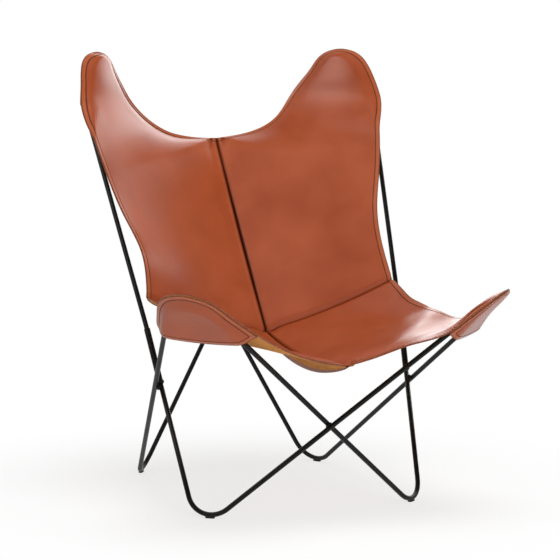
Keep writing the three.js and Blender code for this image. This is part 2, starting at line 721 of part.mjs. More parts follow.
for (const side of [LEFT, RIGHT]) {
  const half = outline(side);
  const backFace = vec(0, -0.8, 0.6);
  const seatFace = vec(0, 0, 1);
  const fromNose = (r, st) => (st >= 1 ? r * (0.26 + 0.4 * Math.min(1, st - 1)) : r * 0.26 * st);
  const noseDistance = (r, flat) => (st) => Math.max(0, fromNose(r, st) - flat);
  add(
    "back_panel_" + word[side],
    sheet(
      panelRows(half.back, half.backBend, side, {
        parts: [2, 2, 2, 2, 2, 2, 2, 2, 2, 2],
        tipEnd: 4.5,
        innerLead: 0,
        hollowFrom: 6.5,
        face: backFace,
        hollow: BACK_HOLLOW,
        depth: BACK_SEAM_DEPTH,
        edge: 0,
        nose: noseDistance(CROWN_BEND_R + BACK_REACH, BACK_NOSE_FLAT),
      }),
      LEATHER_T,
    ),
    leather,
  );
  add(
    "seat_panel_" + word[side],
    sheet(
      panelRows(half.seat, half.frontBend, side, {
        parts: [2, 2, 1, 1, 2, 2, 2, 2, 2, 2, 2],
        tipEnd: 4.8,
        innerLead: 1,
        hollowFrom: 6,
        face: seatFace,
        hollow: SEAT_HOLLOW,
        depth: FIN_DEPTH,
        edge: -side * FRONT_EDGE_TWIST,
        nose: noseDistance(FRONT_NOSE_R + FRONT_REACH, FRONT_NOSE_FLAT),
      }),
      LEATHER_T,
    ),
    leather,
  );
  add(
    "back_pocket_" + word[side],
    sheet(
      pocketRows(half.back, half.backBend, {
        rows: 7,
        innerEnd: 4,
        outerEnd: 4,
        sag: BACK_MOUTH_SAG,
        edge: 0,
        face: backFace,
        nose: noseDistance(CROWN_BEND_R + BACK_REACH, BACK_NOSE_FLAT),
      }),
      LEATHER_T,
    ),
    leather,
  );
  add(
    "seat_pocket_" + word[side],
    sheet(
      pocketRows(half.seat, half.frontBend, {
        rows: 8,
        innerEnd: 3.5,
        outerEnd: 4,
        sag: FRONT_MOUTH_SAG,
        edge: -side * FRONT_EDGE_TWIST,
        face: seatFace,
        nose: noseDistance(FRONT_NOSE_R + FRONT_REACH, FRONT_NOSE_FLAT),
      }),
      LEATHER_T,
    ),
    leather,
  );
}

// The origin goes to the floor under the middle of the chair.
const box = new THREE.Box3().setFromObject(chair);
const centre = box.getCenter(new THREE.Vector3());
for (const mesh of chair.children) mesh.position.set(-centre.x, -centre.y, -box.min.z);

export default chair;
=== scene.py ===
"""Butterfly sling chair: a saddle-leather sling hung by four pockets on a bent steel frame.

Sizes are millimetres in the chair's own frame, with +Z up and the sitter facing -Y. Every mesh is moved to the
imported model's origin and turned to metres as it is made.
"""

from __future__ import annotations

import logging
import math
from dataclasses import dataclass, field
from enum import Enum
from typing import Any

import bpy
import numpy as np
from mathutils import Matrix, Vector

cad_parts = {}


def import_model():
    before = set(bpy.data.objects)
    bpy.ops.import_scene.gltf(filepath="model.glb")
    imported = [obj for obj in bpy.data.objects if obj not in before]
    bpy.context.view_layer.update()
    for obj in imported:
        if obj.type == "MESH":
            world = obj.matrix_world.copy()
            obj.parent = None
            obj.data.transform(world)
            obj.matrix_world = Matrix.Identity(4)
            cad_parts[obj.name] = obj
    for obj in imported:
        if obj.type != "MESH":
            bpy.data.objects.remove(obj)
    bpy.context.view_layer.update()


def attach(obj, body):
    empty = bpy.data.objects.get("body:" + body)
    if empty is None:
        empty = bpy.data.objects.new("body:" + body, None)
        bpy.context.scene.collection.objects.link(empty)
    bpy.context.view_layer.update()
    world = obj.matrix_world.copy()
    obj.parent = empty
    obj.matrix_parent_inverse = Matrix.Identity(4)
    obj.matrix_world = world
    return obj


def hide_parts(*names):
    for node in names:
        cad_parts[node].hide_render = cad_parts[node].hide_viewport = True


LOG = logging.getLogger("sling_chair")
MM = 0.001
TINY = 1e-9
UP = np.array([0.0, 0.0, 1.0])
# The chair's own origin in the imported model, which has its origin under the middle of its box.
ORIGIN = np.array([2.99, -5.21, 0.0])
# The photograph's line of sight: a point slid along it keeps its place in that view.
SIGHT = np.array([0.376, 1.0, -0.1])
# The range in which nearly all of a noise lies.
CLOUDS = (0.3, 0.7)

Array = np.ndarray
Face = tuple[int, ...]
Point = tuple[float, float, float]
Range = tuple[float, float]
Rgba = tuple[float, float, float, float]
Material = bpy.types.Material
Socket = bpy.types.NodeSocket


class Side(Enum):
    """A side of the chair as seen from in front of it."""

    LEFT = -1
    RIGHT = 1

    @property
    def word(self) -> str:
        """The side's name in a piece's name."""
        return self.name.lower()

    @property
    def other(self) -> "Side":
        """The opposite side."""
        return Side(-self.value)


class Slot(Enum):
    """The record's material slots."""

    STEEL = "steel"
    RUBBER = "rubber"
    LEATHER = "leather"


class Layer(Enum):
    """Material slots of a leather sheet's mesh."""

    GRAIN = 0
    SUEDE = 1
    CUT = 2


class Use(Enum):
    """What a lamp is for."""

    REFLECTION = "visible_diffuse"
    FILL = "visible_glossy"


def vec(x: float, y: float, z: float) -> Array:
    """A point in millimetres."""
    return np.array([x, y, z], dtype=float)


def unit(v: Array) -> Array:
    """The direction of v."""
    return v / np.linalg.norm(v)


def mix(a: Any, b: Any, t: float) -> Any:
    """What lies a share t of the way from a to b."""
    return a + (b - a) * t


def smooth(t: Any) -> Any:
    """An even S-shaped step from 0 at t = 0 to 1 at t = 1."""
    t = np.clip(t, 0.0, 1.0)
    return t * t * (3 - 2 * t)


def rising(value: Any, start: Any, span: Any) -> Any:
    """A smooth step from 0 at the start to 1 a span later."""
    return smooth((value - start) / span)


def fading(value: Any, start: Any, span: Any) -> Any:
    """A smooth step from 1 at the start to 0 a span later."""
    return 1 - rising(value, start, span)


def arch(t: Any) -> Any:
    """An arch from 0 at t = 0 over 1 in the middle to 0 at t = 1."""
    return 4 * t * (1 - t)


def nearest_on(line: Array, points: Array, batch: int = 500) -> tuple[Array, Array]:
    """Find the nearest places on a fine line.

    Args:
        line: The line's points.
        points: Points in any grid.
        batch: How many points are measured at once.

    Returns:
        Each point's distance from the line, and its place along it counted in the line's points.
    """
    flat, start, step = points.reshape(-1, 3), line[:-1], np.diff(line, axis=0)
    squares = np.maximum((step * step).sum(1), TINY)
    distances, places = [], []
    for k in range(0, len(flat), batch):
        rel = flat[k : k + batch, None] - start
        t = np.clip((rel * step).sum(2) / squares, 0, 1)
        gaps = ((rel - t[..., None] * step) ** 2).sum(2)
        best = gaps.argmin(1)
        each = np.arange(len(best))
        distances.append(np.sqrt(gaps[each, best]))
        places.append(best + t[each, best])
    shape = points.shape[:-1]
    return np.concatenate(distances).reshape(shape), np.concatenate(places).reshape(shape)


def linear(code: str) -> Rgba:
    """Turn an sRGB hex colour to linear RGBA.

    Args:
        code: Six hex digits.

    Returns:
        Linear red, green and blue, and an alpha of 1.
    """
    srgb = [int(code[i : i + 2], 16) / 255 for i in (0, 2, 4)]
    r, g, b = (c / 12.92 if c <= 0.04045 else ((c + 0.055) / 1.055) ** 2.4 for c in srgb)
    return r, g, b, 1.0


def grey(value: float) -> Rgba:
    """A grey that carries a number."""
    return value, value, value, 1.0


class Nodes:
    """One node tree, with short ways to add the nodes that are used here."""

    def __init__(self, tree: bpy.types.NodeTree) -> None:
        """Take a tree and clear it."""
        self.tree = tree
        tree.nodes.clear()

    def add(self, kind: str, links: dict[Any, Any] | None = None, **settings: Any) -> bpy.types.Node:
        """Add a node with its settings and links.

        Args:
            kind: The node's type name.
            links: Output sockets or constant values by input name or number.
            settings: The node's own properties.

        Returns:
            The new node.
        """
        node = self.tree.nodes.new(kind)
        for name, value in settings.items():
            setattr(node, name, value)
        for name, value in (links or {}).items():
            if isinstance(value, bpy.types.NodeSocket):
                self.tree.links.new(value, node.inputs[name])
            else:
                node.inputs[name].default_value = value
        return node

    def out(self, kind: str, links: dict[Any, Any] | None = None, **settings: Any) -> Socket:
        """Add a node and give its first output."""
        return self.add(kind, links, **settings).outputs[0]

    def where(self) -> Socket:
        """The place on the object, in metres."""
        return self.add("ShaderNodeTexCoord").outputs["Object"]

    def mark(self, name: str) -> Socket:
        """A number stored on the mesh."""
        return self.add("ShaderNodeAttribute", attribute_name=name).outputs["Fac"]

    def span(self, value: Socket, source: Range, target: Range, soft: bool = False) -> Socket:
        """Map one range of numbers to another, evenly or with soft ends."""
        limits = dict(zip(("From Min", "From Max", "To Min", "To Max"), source + target))
        kind = "SMOOTHSTEP" if soft else "LINEAR"
        return self.out("ShaderNodeMapRange", {"Value": value, **limits}, interpolation_type=kind)

    def noise(self, where: Socket, size: float, detail: float, **more: float) -> Socket:
        """Noise of a size in millimetres."""
        links = {"Vector": where, "Scale": 1 / (size * MM), "Detail": detail}
        links.update({name.title(): value for name, value in more.items()})
        return self.add("ShaderNodeTexNoise", links).outputs["Fac"]

    def ramp(self, value: Socket, *stops: tuple[float, Rgba]) -> Socket:
        """Turn a number to a colour.

        Args:
            value: The number.
            stops: Two or more positions, each with a linear colour.

        Returns:
            The colour.
        """
        node = self.add("ShaderNodeValToRGB", {"Fac": value})
        elements = node.color_ramp.elements
        while len(elements) < len(stops):
            elements.new(0.5)
        for element, (position, colour) in zip(elements, stops):
            element.position, element.color = position, colour
        return node.outputs["Color"]

    def levels(self, value: Socket, *stops: Range) -> Socket:
        """A ramp of numbers through two or more stops, each a position and a level."""
        return self.ramp(value, *((position, grey(level)) for position, level in stops))

    def maths(self, operation: str, a: Any, b: Any) -> Socket:
        """Combine two numbers."""
        return self.out("ShaderNodeMath", {0: a, 1: b}, operation=operation)

    def between(self, share: Socket, a: Any, b: Any) -> Socket:
        """Mix two numbers."""
        return self.out("ShaderNodeMix", {0: share, 2: a, 3: b})

    def blend(self, share: Socket, a: Any, b: Any) -> Socket:
        """Mix two colours."""
        return self.add("ShaderNodeMix", {0: share, 6: a, 7: b}, data_type="RGBA").outputs[2]

    def bump(self, height: Socket, strength: float, depth: float, on: Socket | None = None, **settings: Any) -> Socket:
        """Add a relief.

        Args:
            height: The height, from 0 to 1.
            strength: How strongly it shows.
            depth: Its depth in millimetres.
            on: Another relief that it lies on.
            settings: The node's own properties.

        Returns:
            The normal.
        """
        links = {"Strength": strength, "Distance": depth * MM, "Height": height}
        if on is not None:
            links["Normal"] = on
        return self.out("ShaderNodeBump", links, **settings)

    def finish(self, surface: dict[str, Any]) -> None:
        """Close a material's tree with a Principled shader."""
        shader = self.out("ShaderNodeBsdfPrincipled", surface)
        self.add("ShaderNodeOutputMaterial", {"Surface": shader})


def new_material(name: str) -> tuple[Material, Nodes]:
    """An empty material and its tree."""
    material = bpy.data.materials.new(name)
    material.use_nodes = True
    return material, Nodes(material.node_tree)


@dataclass(frozen=True)
class SaddleLeather:
    """Vegetable-tanned saddle leather, drum dyed cognac and finished with wax.

    The dye clouds a little over the hide, the pores are fine and shallow, and the waxed surface has a soft gloss that
    turns pale where it is seen edge-on. Along each free edge the hem is painted paler, a painted highlight on the
    raised hem, between the dark burnished rim of the cut and the stitch line, whose pressed groove is painted dark as
    shade.
    Seams, creases and the step beside a turned-up hem are painted darker as shade. A relief is a strength and a depth
    in millimetres.
    """

    name: str = "saddle_leather_cognac"
    body: str = "9a4623"
    deep: str = "92401f"
    bright: str = "a34c28"
    # The hem tone and the hem's paleness are a painted highlight on the raised hem strip.
    hem: str = "ab5c36"
    # The crease tone is the burnished rim's colour and the painted shade in grooves, seams and creases.
    crease: str = "320d03"
    tint_stops: Point = (0.3, 0.5, 0.72)
    hem_pale: Range = (0.6, 0.35)
    rim_dark: Range = (0.8, 0.55)
    fold_dark: tuple[Range, Range] = ((0.25, 0.0), (0.7, 0.9))
    roughness: Range = (0.28, 0.39)
    shine: float = 0.5
    ior: float = 1.46
    # The stitch groove is painted dark as shade, and made dull and nearly without reflection.
    groove_roughness: float = 0.8
    groove_shine: float = 0.03
    groove_dark: float = 0.75
    groove_relief: Range = (0.2, 0.6)
    cloud_mm: float = 110.0
    pore_mm: float = 1.6
    pore_relief: Range = (0.05, 0.3)
    wrinkle_mm: float = 14.0
    wrinkle_relief: Range = (0.04, 2.0)
    rim_mm: float = 0.8
    hem_from_mm: float = 2.2
    hem_mm: float = 8.2
    hem_fade_mm: float = 1.0
    stitch_line_mm: float = 9.4
    groove_mm: float = 0.6
    groove_fade_mm: float = 1.2
    reach_mm: float = 20.0

    def build(self) -> Material:
        """Make the material.

        Returns:
            The leather's grain side.
        """
        material, nodes = new_material(self.name)
        where = nodes.where()
        cloud = nodes.noise(where, self.cloud_mm, 5.0, roughness=0.55)
        tones = (linear(code) for code in (self.deep, self.body, self.bright))
        tint = nodes.ramp(cloud, *zip(self.tint_stops, tones))
        share = nodes.span(nodes.mark("edge"), (0.0, self.reach_mm), (0.0, 1.0))
        lengths = (self.rim_mm, self.hem_from_mm, self.hem_mm, self.hem_fade_mm)
        rim, hem_from, hem_to, hem_fade = (x / self.reach_mm for x in lengths)
        lengths = (self.stitch_line_mm, self.groove_mm, self.groove_fade_mm)
        line, groove, fade = (x / self.reach_mm for x in lengths)
        pale, paler = self.hem_pale
        # The hem strip is painted paler: a painted highlight where the raised hem catches the light.
        hem = nodes.levels(share, (0.0, pale), (hem_from, pale), (hem_to, paler), (line + hem_fade, 0.0))
        # Dark at the cut edge for its real burnish, and painted shade in the pressed groove of the stitch line.
        dark = nodes.levels(
            share,
            (0.0, self.rim_dark[0]),
            (rim, self.rim_dark[1]),
            (hem_from, 0.0),
            (line - fade, 0.0),
            (line - groove, self.groove_dark),
            (line + groove, self.groove_dark),
            (line + fade, 0.0),
        )
        # Painted shade where the leather turns under at a seam or the crease, and beside a turned-up hem.
        deep = nodes.levels(nodes.mark("fold"), *self.fold_dark)
        crease = linear(self.crease)
        lined = nodes.blend(dark, nodes.blend(hem, tint, linear(self.hem)), crease)
        burnish_and_shade = nodes.maths("MAXIMUM", dark, deep)
        sheen = nodes.span(cloud, CLOUDS, self.roughness)
        dull = nodes.maths("MULTIPLY", burnish_and_shade, self.groove_roughness)
        # Pores are finer than a pixel here, so they are drawn about twice their size.
        scale = 1 / (self.pore_mm * MM)
        pores = nodes.add("ShaderNodeTexVoronoi", {"Vector": where, "Scale": scale}, feature="SMOOTH_F1")
        fine = nodes.bump(pores.outputs["Distance"], *self.pore_relief)
        soft = nodes.bump(nodes.noise(where, self.wrinkle_mm, 3.0), *self.wrinkle_relief, fine)
        surface = {
            "Base Color": nodes.blend(deep, lined, crease),
            "Roughness": nodes.maths("MAXIMUM", dull, sheen),
            "Specular IOR Level": nodes.span(burnish_and_shade, (0.0, self.groove_dark), (self.shine, self.groove_shine)),
            "Normal": nodes.bump(dark, *self.groove_relief, soft, invert=True),
            "IOR": self.ior,
        }
        nodes.finish(surface)
        return material


@dataclass(frozen=True)
class PlainFinish:
    """A finish of two clouded tones with a fine relief, which follows the clouds or has a size of its own."""

    name: str = ""
    tones: tuple[tuple[float, str], ...] = ()
    cloud_mm: float = 1.0
    cloud_detail: float = 4.0
    relief_mm: float = 0.0
    relief_detail: float = 2.0
    distortion: float = 0.0
    strength: float = 0.3
    depth_mm: float = 0.2
    roughness: float = 0.5
    swing: float = 0.0
    ior: float | None = None

    def build(self) -> Material:
        """Make the material.

        Returns:
            The finish.
        """
        material, nodes = new_material(self.name)
        where = nodes.where()
        relief = cloud = nodes.noise(where, self.cloud_mm, self.cloud_detail)
        if self.relief_mm:
            relief = nodes.noise(where, self.relief_mm, self.relief_detail, distortion=self.distortion)
        surface = {
            "Base Color": nodes.ramp(cloud, *((at, linear(code)) for at, code in self.tones)),
            "Roughness": self.roughness,
            "Normal": nodes.bump(relief, self.strength, self.depth_mm),
        }
        if self.swing:
            target = (self.roughness - self.swing, self.roughness + self.swing)
            surface["Roughness"] = nodes.span(cloud, CLOUDS, target)
        if self.ior is not None:
            surface["IOR"] = self.ior
        nodes.finish(surface)
        return material


@dataclass(frozen=True)
class LeatherReverse(PlainFinish):
    """The raw flesh side of the same hide: pale tan, matt and slightly fibrous."""

    name: str = "leather_flesh_side"
    tones: tuple[tuple[float, str], ...] = ((0.3, "b67839"), (0.7, "c98a4a"))
    cloud_mm: float = 60.0
    cloud_detail: float = 6.0
    relief_mm: float = 4.0
    relief_detail: float = 8.0
    distortion: float = 0.6
    strength: float = 0.25
    depth_mm: float = 0.6
    roughness: float = 0.9
    ior: float | None = 1.3


@dataclass(frozen=True)
class BurnishedEdge(PlainFinish):
    """The cut edge of the hide, stained dark and rubbed smooth."""

    name: str = "burnished_leather_edge"
    tones: tuple[tuple[float, str], ...] = ((0.35, "7a4028"), (0.75, "9c5a3c"))
    cloud_mm: float = 3.5
    strength: float = 0.2
    depth_mm: float = 0.4
    ior: float | None = 1.48


@dataclass(frozen=True)
class PowderCoat(PlainFinish):
    """Satin black powder coat on steel: a faint orange peel and a broad soft highlight."""

    name: str = "powder_coated_steel_black"
    tones: tuple[tuple[float, str], ...] = ((0.35, "0b0a0a"), (0.75, "131211"))
    cloud_mm: float = 40.0
    relief_mm: float = 1.8
    strength: float = 0.12
    depth_mm: float = 0.3
    roughness: float = 0.42
    swing: float = 0.06
    ior: float | None = 1.32


@dataclass(frozen=True)
class MouldedRubber(PlainFinish):
    """Moulded black rubber of the glides: matt, with a light grit from the floor."""

    name: str = "moulded_rubber_black"
    tones: tuple[tuple[float, str], ...] = ((0.5, "161616"), (0.8, "34312e"))
    cloud_mm: float = 1.2
    cloud_detail: float = 6.0
    roughness: float = 0.78


@dataclass(frozen=True)
class WaxedThread(PlainFinish):
    """Waxed polyester thread, dark brown, twisted from three plies."""

    name: str = "waxed_thread_brown"
    tones: tuple[tuple[float, str], ...] = ((0.4, "4a2818"), (0.7, "6d4028"))
    cloud_mm: float = 1.1
    cloud_detail: float = 2.0
    roughness: float = 0.55


@dataclass
class Finishes:
    """Every finish on the chair, made once."""

    grain: Material = field(default_factory=SaddleLeather().build)
    flesh: Material = field(default_factory=LeatherReverse().build)
    cut: Material = field(default_factory=BurnishedEdge().build)
    steel: Material = field(default_factory=PowderCoat().build)
    rubber: Material = field(default_factory=MouldedRubber().build)
    thread: Material = field(default_factory=WaxedThread().build)


def link(name: str, data: Any) -> bpy.types.Object:
    """Put an object with this data in the scene."""
    obj = bpy.data.objects.new(name, data)
    bpy.context.scene.collection.objects.link(obj)
    return obj


def packed(points: Any) -> list[list[float]]:
    """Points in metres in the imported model's frame."""
    return ((np.asarray(points) + ORIGIN) * MM).tolist()


def make_piece(
    name: str, points: Array, faces: list[Face], materials: list[Material], layers: list[int] | None = None
) -> bpy.types.Object:
    """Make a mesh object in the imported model's frame.

    Args:
        name: The piece's name.
        points: Its points in millimetres in the chair's frame.
        faces: Its faces.
        materials: Its material slots.
        layers: The material slot of each face.

    Returns:
        The object, linked to the scene, with smooth faces.
    """
    mesh = bpy.data.meshes.new(name)
    mesh.from_pydata(packed(points), [], faces)
    for material in materials:
        mesh.materials.append(material)
    if layers is not None:
        mesh.polygons.foreach_set("material_index", layers)
    mesh.polygons.foreach_set("use_smooth", [True] * len(faces))
    mesh.update()
    return link(name, mesh)


def settle(obj: bpy.types.Object, slot: Slot, *nodes: str) -> None:
    """Tie a piece to the frame's body and name what it stands for.

    Args:
        obj: The piece.
        slot: The record's material slot; not used.
        nodes: The CAD nodes that it replaces.
    """
    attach(obj, "root")
    if nodes:
        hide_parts(*nodes)
    LOG.info("%s: %d faces, stands for %s", obj.name, len(obj.data.polygons), ", ".join(nodes) or "no node")


class Bend:
    """A round bend of a rod at a corner between two straight legs."""

    def __init__(self, a: Array, corner: Array, b: Array, radius: float) -> None:
        """Place the bend.

        Args:
            a: A point on the first leg.
            corner: Where the legs' centre lines meet.
            b: A point on the second leg.
            radius: The bend's radius to the centre line.
        """
        self.corner, self.radius = corner, radius
        self.to_a, self.to_b = unit(a - corner), unit(b - corner)
        half = math.acos(float(np.clip(self.to_a @ self.to_b, -1, 1))) / 2
        self.up = -unit(self.to_a + self.to_b)
        self.centre = corner - self.up * radius / math.sin(half)
        self.side = unit(self.to_a - self.up * (self.to_a @ self.up))
        self.turn = math.pi / 2 - half
        self.normal = unit(np.cross(self.to_a, self.to_b))
        self.across_a = unit(self.side - self.to_a * (self.side @ self.to_a))
        self.across_b = unit(-self.side + self.to_b * (self.side @ self.to_b))

    def at(self, angle: float, radius: float | None = None) -> Array:
        """The point at an angle from the bend's middle, towards the first leg, on its centre line or at a radius."""
        r = self.radius if radius is None else radius
        return self.centre + self.up * r * math.cos(angle) + self.side * r * math.sin(angle)

    def tangent(self, angle: float) -> Array:
        """The direction away from the bend's middle at an angle from it."""
        return (self.side * math.cos(angle) - self.up * math.sin(angle)) * math.copysign(1, angle)

    def leg_a(self, distance: float, margin: float) -> Array:
        """The point a distance from the corner along the first leg, and a margin outside it."""
        return self.corner + self.to_a * distance + self.across_a * margin

    def leg_b(self, distance: float, margin: float) -> Array:
        """The point a distance from the corner along the second leg, and a margin outside it."""
        return self.corner + self.to_b * distance + self.across_b * margin

    def outside(self, points: Array) -> Array:
        """How far points in the rods' plane lie outside the rod's centre line.

        Args:
            points: Points as rows, in any shape.

        Returns:
            Distances, less than zero between the legs.
        """
        rel = points - self.centre
        u, s = rel @ self.up, rel @ self.side
        angle, arc = np.arctan2(s, u), np.hypot(u, s) - self.radius
        by_a = (points - self.corner) @ self.across_a
        by_b = (points - self.corner) @ self.across_b
        return np.where(angle > self.turn, by_a, np.where(angle < -self.turn, by_b, arc))


def bent_path(corners: list[Array], radii: list[float], step: float = math.radians(4)) -> Array:
    """The centre line of a bent rod.

    Args:
        corners: The corners before bending, ends included.
        radii: Each corner's bend radius; the ends' are not used.
        step: The angle between points in a bend.

    Returns:
        Points as rows.
    """
    points = [corners[0]]
    for a, corner, b, radius in zip(corners, corners[1:], corners[2:], radii[1:]):
        bend = Bend(a, corner, b, radius)
        steps = max(3, math.ceil(2 * bend.turn / step))
        points += [bend.at(bend.turn * (1 - 2 * k / steps)) for k in range(steps + 1)]
    return np.array(points + [corners[-1]])


def circle(sides: int) -> list[tuple[float, float]]:
    """The cosine and sine of even steps round a circle."""
    return [(math.cos(a), math.sin(a)) for a in np.linspace(0, 2 * math.pi, sides, endpoint=False)]


def ring_faces(rings: int, sides: int, capped: bool) -> list[Face]:
    """Faces between rings of points.

    Args:
        rings: How many rings there are.
        sides: Points in each ring.
        capped: Whether the end rings are closed with a face, or joined to each other.

    Returns:
        The faces.
    """
    faces: list[Face] = []
    for i in range(rings - 1 if capped else rings):
        low, high = i * sides, (i + 1) % rings * sides
        faces += [(low + j, low + (j + 1) % sides, high + (j + 1) % sides, high + j) for j in range(sides)]
    if capped:
        faces += [tuple(reversed(range(sides))), tuple((rings - 1) * sides + j for j in range(sides))]
    return faces


def tube(path: Array, radius: float, sides: int = 28) -> tuple[Array, list[Face]]:
    """A round rod along a path, closed at both ends.

    Args:
        path: The centre line.
        radius: The rod's radius.
        sides: Points round the rod.

    Returns:
        Points and faces.
    """
    tangents = np.gradient(path, axis=0)
    tangents /= np.linalg.norm(tangents, axis=1)[:, None]
    across = unit(np.cross(tangents[0], [0.3, 0.9, 0.1]))
    points = []
    for p, t in zip(path, tangents):
        across = unit(across - t * (across @ t))
        other = np.cross(t, across)
        points += [p + radius * (c * across + s * other) for c, s in circle(sides)]
    return np.array(points), ring_faces(len(path), sides, True)


def turned(profile: list[Range], foot: Array, axis: Array, sides: int = 40) -> tuple[Array, list[Face]]:
    """A turned piece whose closed profile goes round an axis.

    Args:
        profile: Radius and height of each corner, in order round the section, outside going up.
        foot: Where the heights start.
        axis: The direction of the heights.
        sides: Points round the piece.

    Returns:
        Points and faces.
    """
    u = unit(np.cross(axis, [0.2, 0.95, 0.1]))
    w = np.cross(axis, u)
    points = [foot + axis * h + r * (c * u + s * w) for r, h in profile for c, s in circle(sides)]
    return np.array(points), ring_faces(len(profile), sides, False)


def crossing(a: Array, b: Array, c: Array, d: Array) -> Array:
    """Find the place where two straight legs pass each other.

    Args:
        a: A point on the first leg.
        b: Another one.
        c: A point on the second leg.
        d: Another one.

    Returns:
        The middle between the legs.
    """
    u, w, r = b - a, d - c, a - c
    uu, ww, uw = u @ u, w @ w, u @ w
    s = (uw * (w @ r) - ww * (u @ r)) / (uu * ww - uw * uw)
    t = (uu * (w @ r) - uw * (u @ r)) / (uu * ww - uw * uw)
    return (a + u * s + c + w * t) / 2


@dataclass
class Loop:
    """The corners of one loop of the frame, with the front tip of one side and the back hoop of the other."""

    side_joint: Array
    back_joint: Array
    tip: Array
    front_foot: Array
    back_foot: Array
    shoulder: Array
    crown: Array
    nape: Array


@dataclass
class SteelFrame:
    """Two bent base rods, two plug-in back hoops, and the sockets, welds and glides on them."""

    rod_d: float = 10.0
    foot_bend_r: float = 52.0
    front_bend_r: float = 65.0
    crown_bend_r: float = 48.0
    shoulder_bend_r: float = 150.0
    weld_gap: float = 0.3
    front_foot: Range = (243.7, -191.0)
    back_foot: Range = (204.8, 337.4)
    front_tip: Point = (363.2, -436.2, 500.9)
    side_joint: Point = (284.3, 11.1, 356.4)
    back_joint: Point = (13.1, 368.4, 378.4)
    shoulder: Point = (334.0, 280.0, 793.4)
    crown: Point = (294.0, 373.0, 958.4)
    nape: Point = (212.0, 396.0, 793.4)
    socket_d: float = 12.6
    socket_clearance: float = 0.3
    socket_l: float = 120.0
    socket_relief: float = 1.0
    socket_round: float = 0.9
    plug_l: float = 52.0
    plug_gap: float = 4.0
    ring_d: float = 16.0
    ring_l: float = 7.0
    ring_round: float = 1.8
    weld_r: float = 8.0
    weld_flat: float = 0.82
    weld_narrow: float = 0.9
    weld_ripple: float = 0.05
    glide_l: float = 20.0
    glide_w: float = 9.0
    glide_t: float = 2.0
    glide_lip: float = 2.4
    loops: dict[Side, Loop] = field(default_factory=dict)

    def __post_init__(self) -> None:
        """Work out the corners of both loops."""
        rise = unit(vec(0, self.front_tip[1] - self.front_foot[1], self.front_tip[2]))
        self.loop_offset = (self.rod_d + self.weld_gap) / 2 / rise[2]
        self.loops = {side: self.loop(side) for side in Side}

    def foot_corner(self, corner: Array, a: Array, b: Array) -> Array:
        """The corner of a foot whose round bend, on its glide, just reaches the floor.

        Args:
            corner: The corner's place on the floor.
            a: The next corner on one leg.
            b: The next corner on the other.

        Returns:
            The corner.
        """
        for _ in range(6):
            bend = Bend(a, corner, b, self.foot_bend_r)
            flat = math.sqrt(1 - bend.normal[2] ** 2)
            corner[2] += self.rod_d / 2 + self.glide_t - (bend.centre[2] - self.foot_bend_r * flat)
        return corner

    def loop(self, tip: Side) -> Loop:
        """The loop that carries the front tip of a side.

        Args:
            tip: The front tip's side.

        Returns:
            The loop's corners.
        """
        hoop = tip.other

        def at(side: Side, x: float, y: float, z: float = 0.0) -> Array:
            """A corner on a side, at the loop's own depth."""
            return vec(side.value * x, y - tip.value * self.loop_offset, z)

        side_joint, back_joint = at(hoop, *self.side_joint), at(hoop, *self.back_joint)
        front_tip = at(tip, *self.front_tip)
        front_foot = self.foot_corner(at(hoop, *self.front_foot), side_joint, front_tip)
        back_foot = self.foot_corner(at(tip, *self.back_foot), front_tip, back_joint)
        upper = (at(hoop, *point) for point in (self.shoulder, self.crown, self.nape))
        return Loop(side_joint, back_joint, front_tip, front_foot, back_foot, *upper)

    def seats(self, loop: Loop) -> dict[str, tuple[Array, Array]]:
        """Where a loop's sockets begin and point.

        Args:
            loop: The loop.

        Returns:
            The foot and axis of the side and back socket.
        """
        side, back = unit(loop.side_joint - loop.front_foot), unit(loop.nape - loop.back_joint)
        return {
            "side": (loop.side_joint - side * (self.socket_relief + self.socket_l), side),
            "back": (loop.back_joint + back * self.socket_relief, back),
        }

    def paths(self, loop: Loop) -> tuple[Array, Array]:
        """The centre lines of a loop's base rod and hoop.

        Args:
            loop: The loop.

        Returns:
            The base rod's points and the hoop's.
        """
        (side_foot, side), (back_foot, back) = self.seats(loop).values()
        plug = self.socket_l - self.plug_l
        stop = plug - self.plug_gap
        corners = [loop.front_foot, loop.tip, loop.back_foot, loop.back_joint]
        radii = [0, self.foot_bend_r, self.front_bend_r, self.foot_bend_r, self.rod_d, 0]
        base = bent_path([side_foot + side * stop, *corners, back_foot + back * stop], radii)
        corners = [loop.side_joint, loop.shoulder, loop.crown, loop.nape]
        radii = [0, self.rod_d, self.shoulder_bend_r, self.crown_bend_r, self.shoulder_bend_r, 0]
        return base, bent_path([side_foot + side * plug, *corners, back_foot + back * plug], radii)

    def build(self, finishes: Finishes) -> None:
        """Make every steel and rubber piece.

        Args:
            finishes: The chair's finishes.
        """
        for tip in Side:
            loop, hoop_side = self.loops[tip], tip.other.word
            base, hoop = self.paths(loop)
            for name, node, path in (
                (f"rod_loop_{tip.word}", f"base_rod_{tip.word}", base),
                (f"hoop_rod_{hoop_side}", f"back_hoop_{hoop_side}", hoop),
            ):
                settle(make_piece(name, *tube(path, self.rod_d / 2), [finishes.steel]), Slot.STEEL, node)
            for place, (foot, axis) in self.seats(loop).items():
                for kind, profile in (("socket", self.wall()), ("ring", self.rim())):
                    shape = turned(profile, foot, axis)
                    piece = make_piece(f"{kind}_{place}_{hoop_side}", *shape, [finishes.steel])
                    settle(piece, Slot.STEEL, f"{place}_{kind}_{hoop_side}")
        self.build_welds(finishes)
        self.build_glides(finishes)

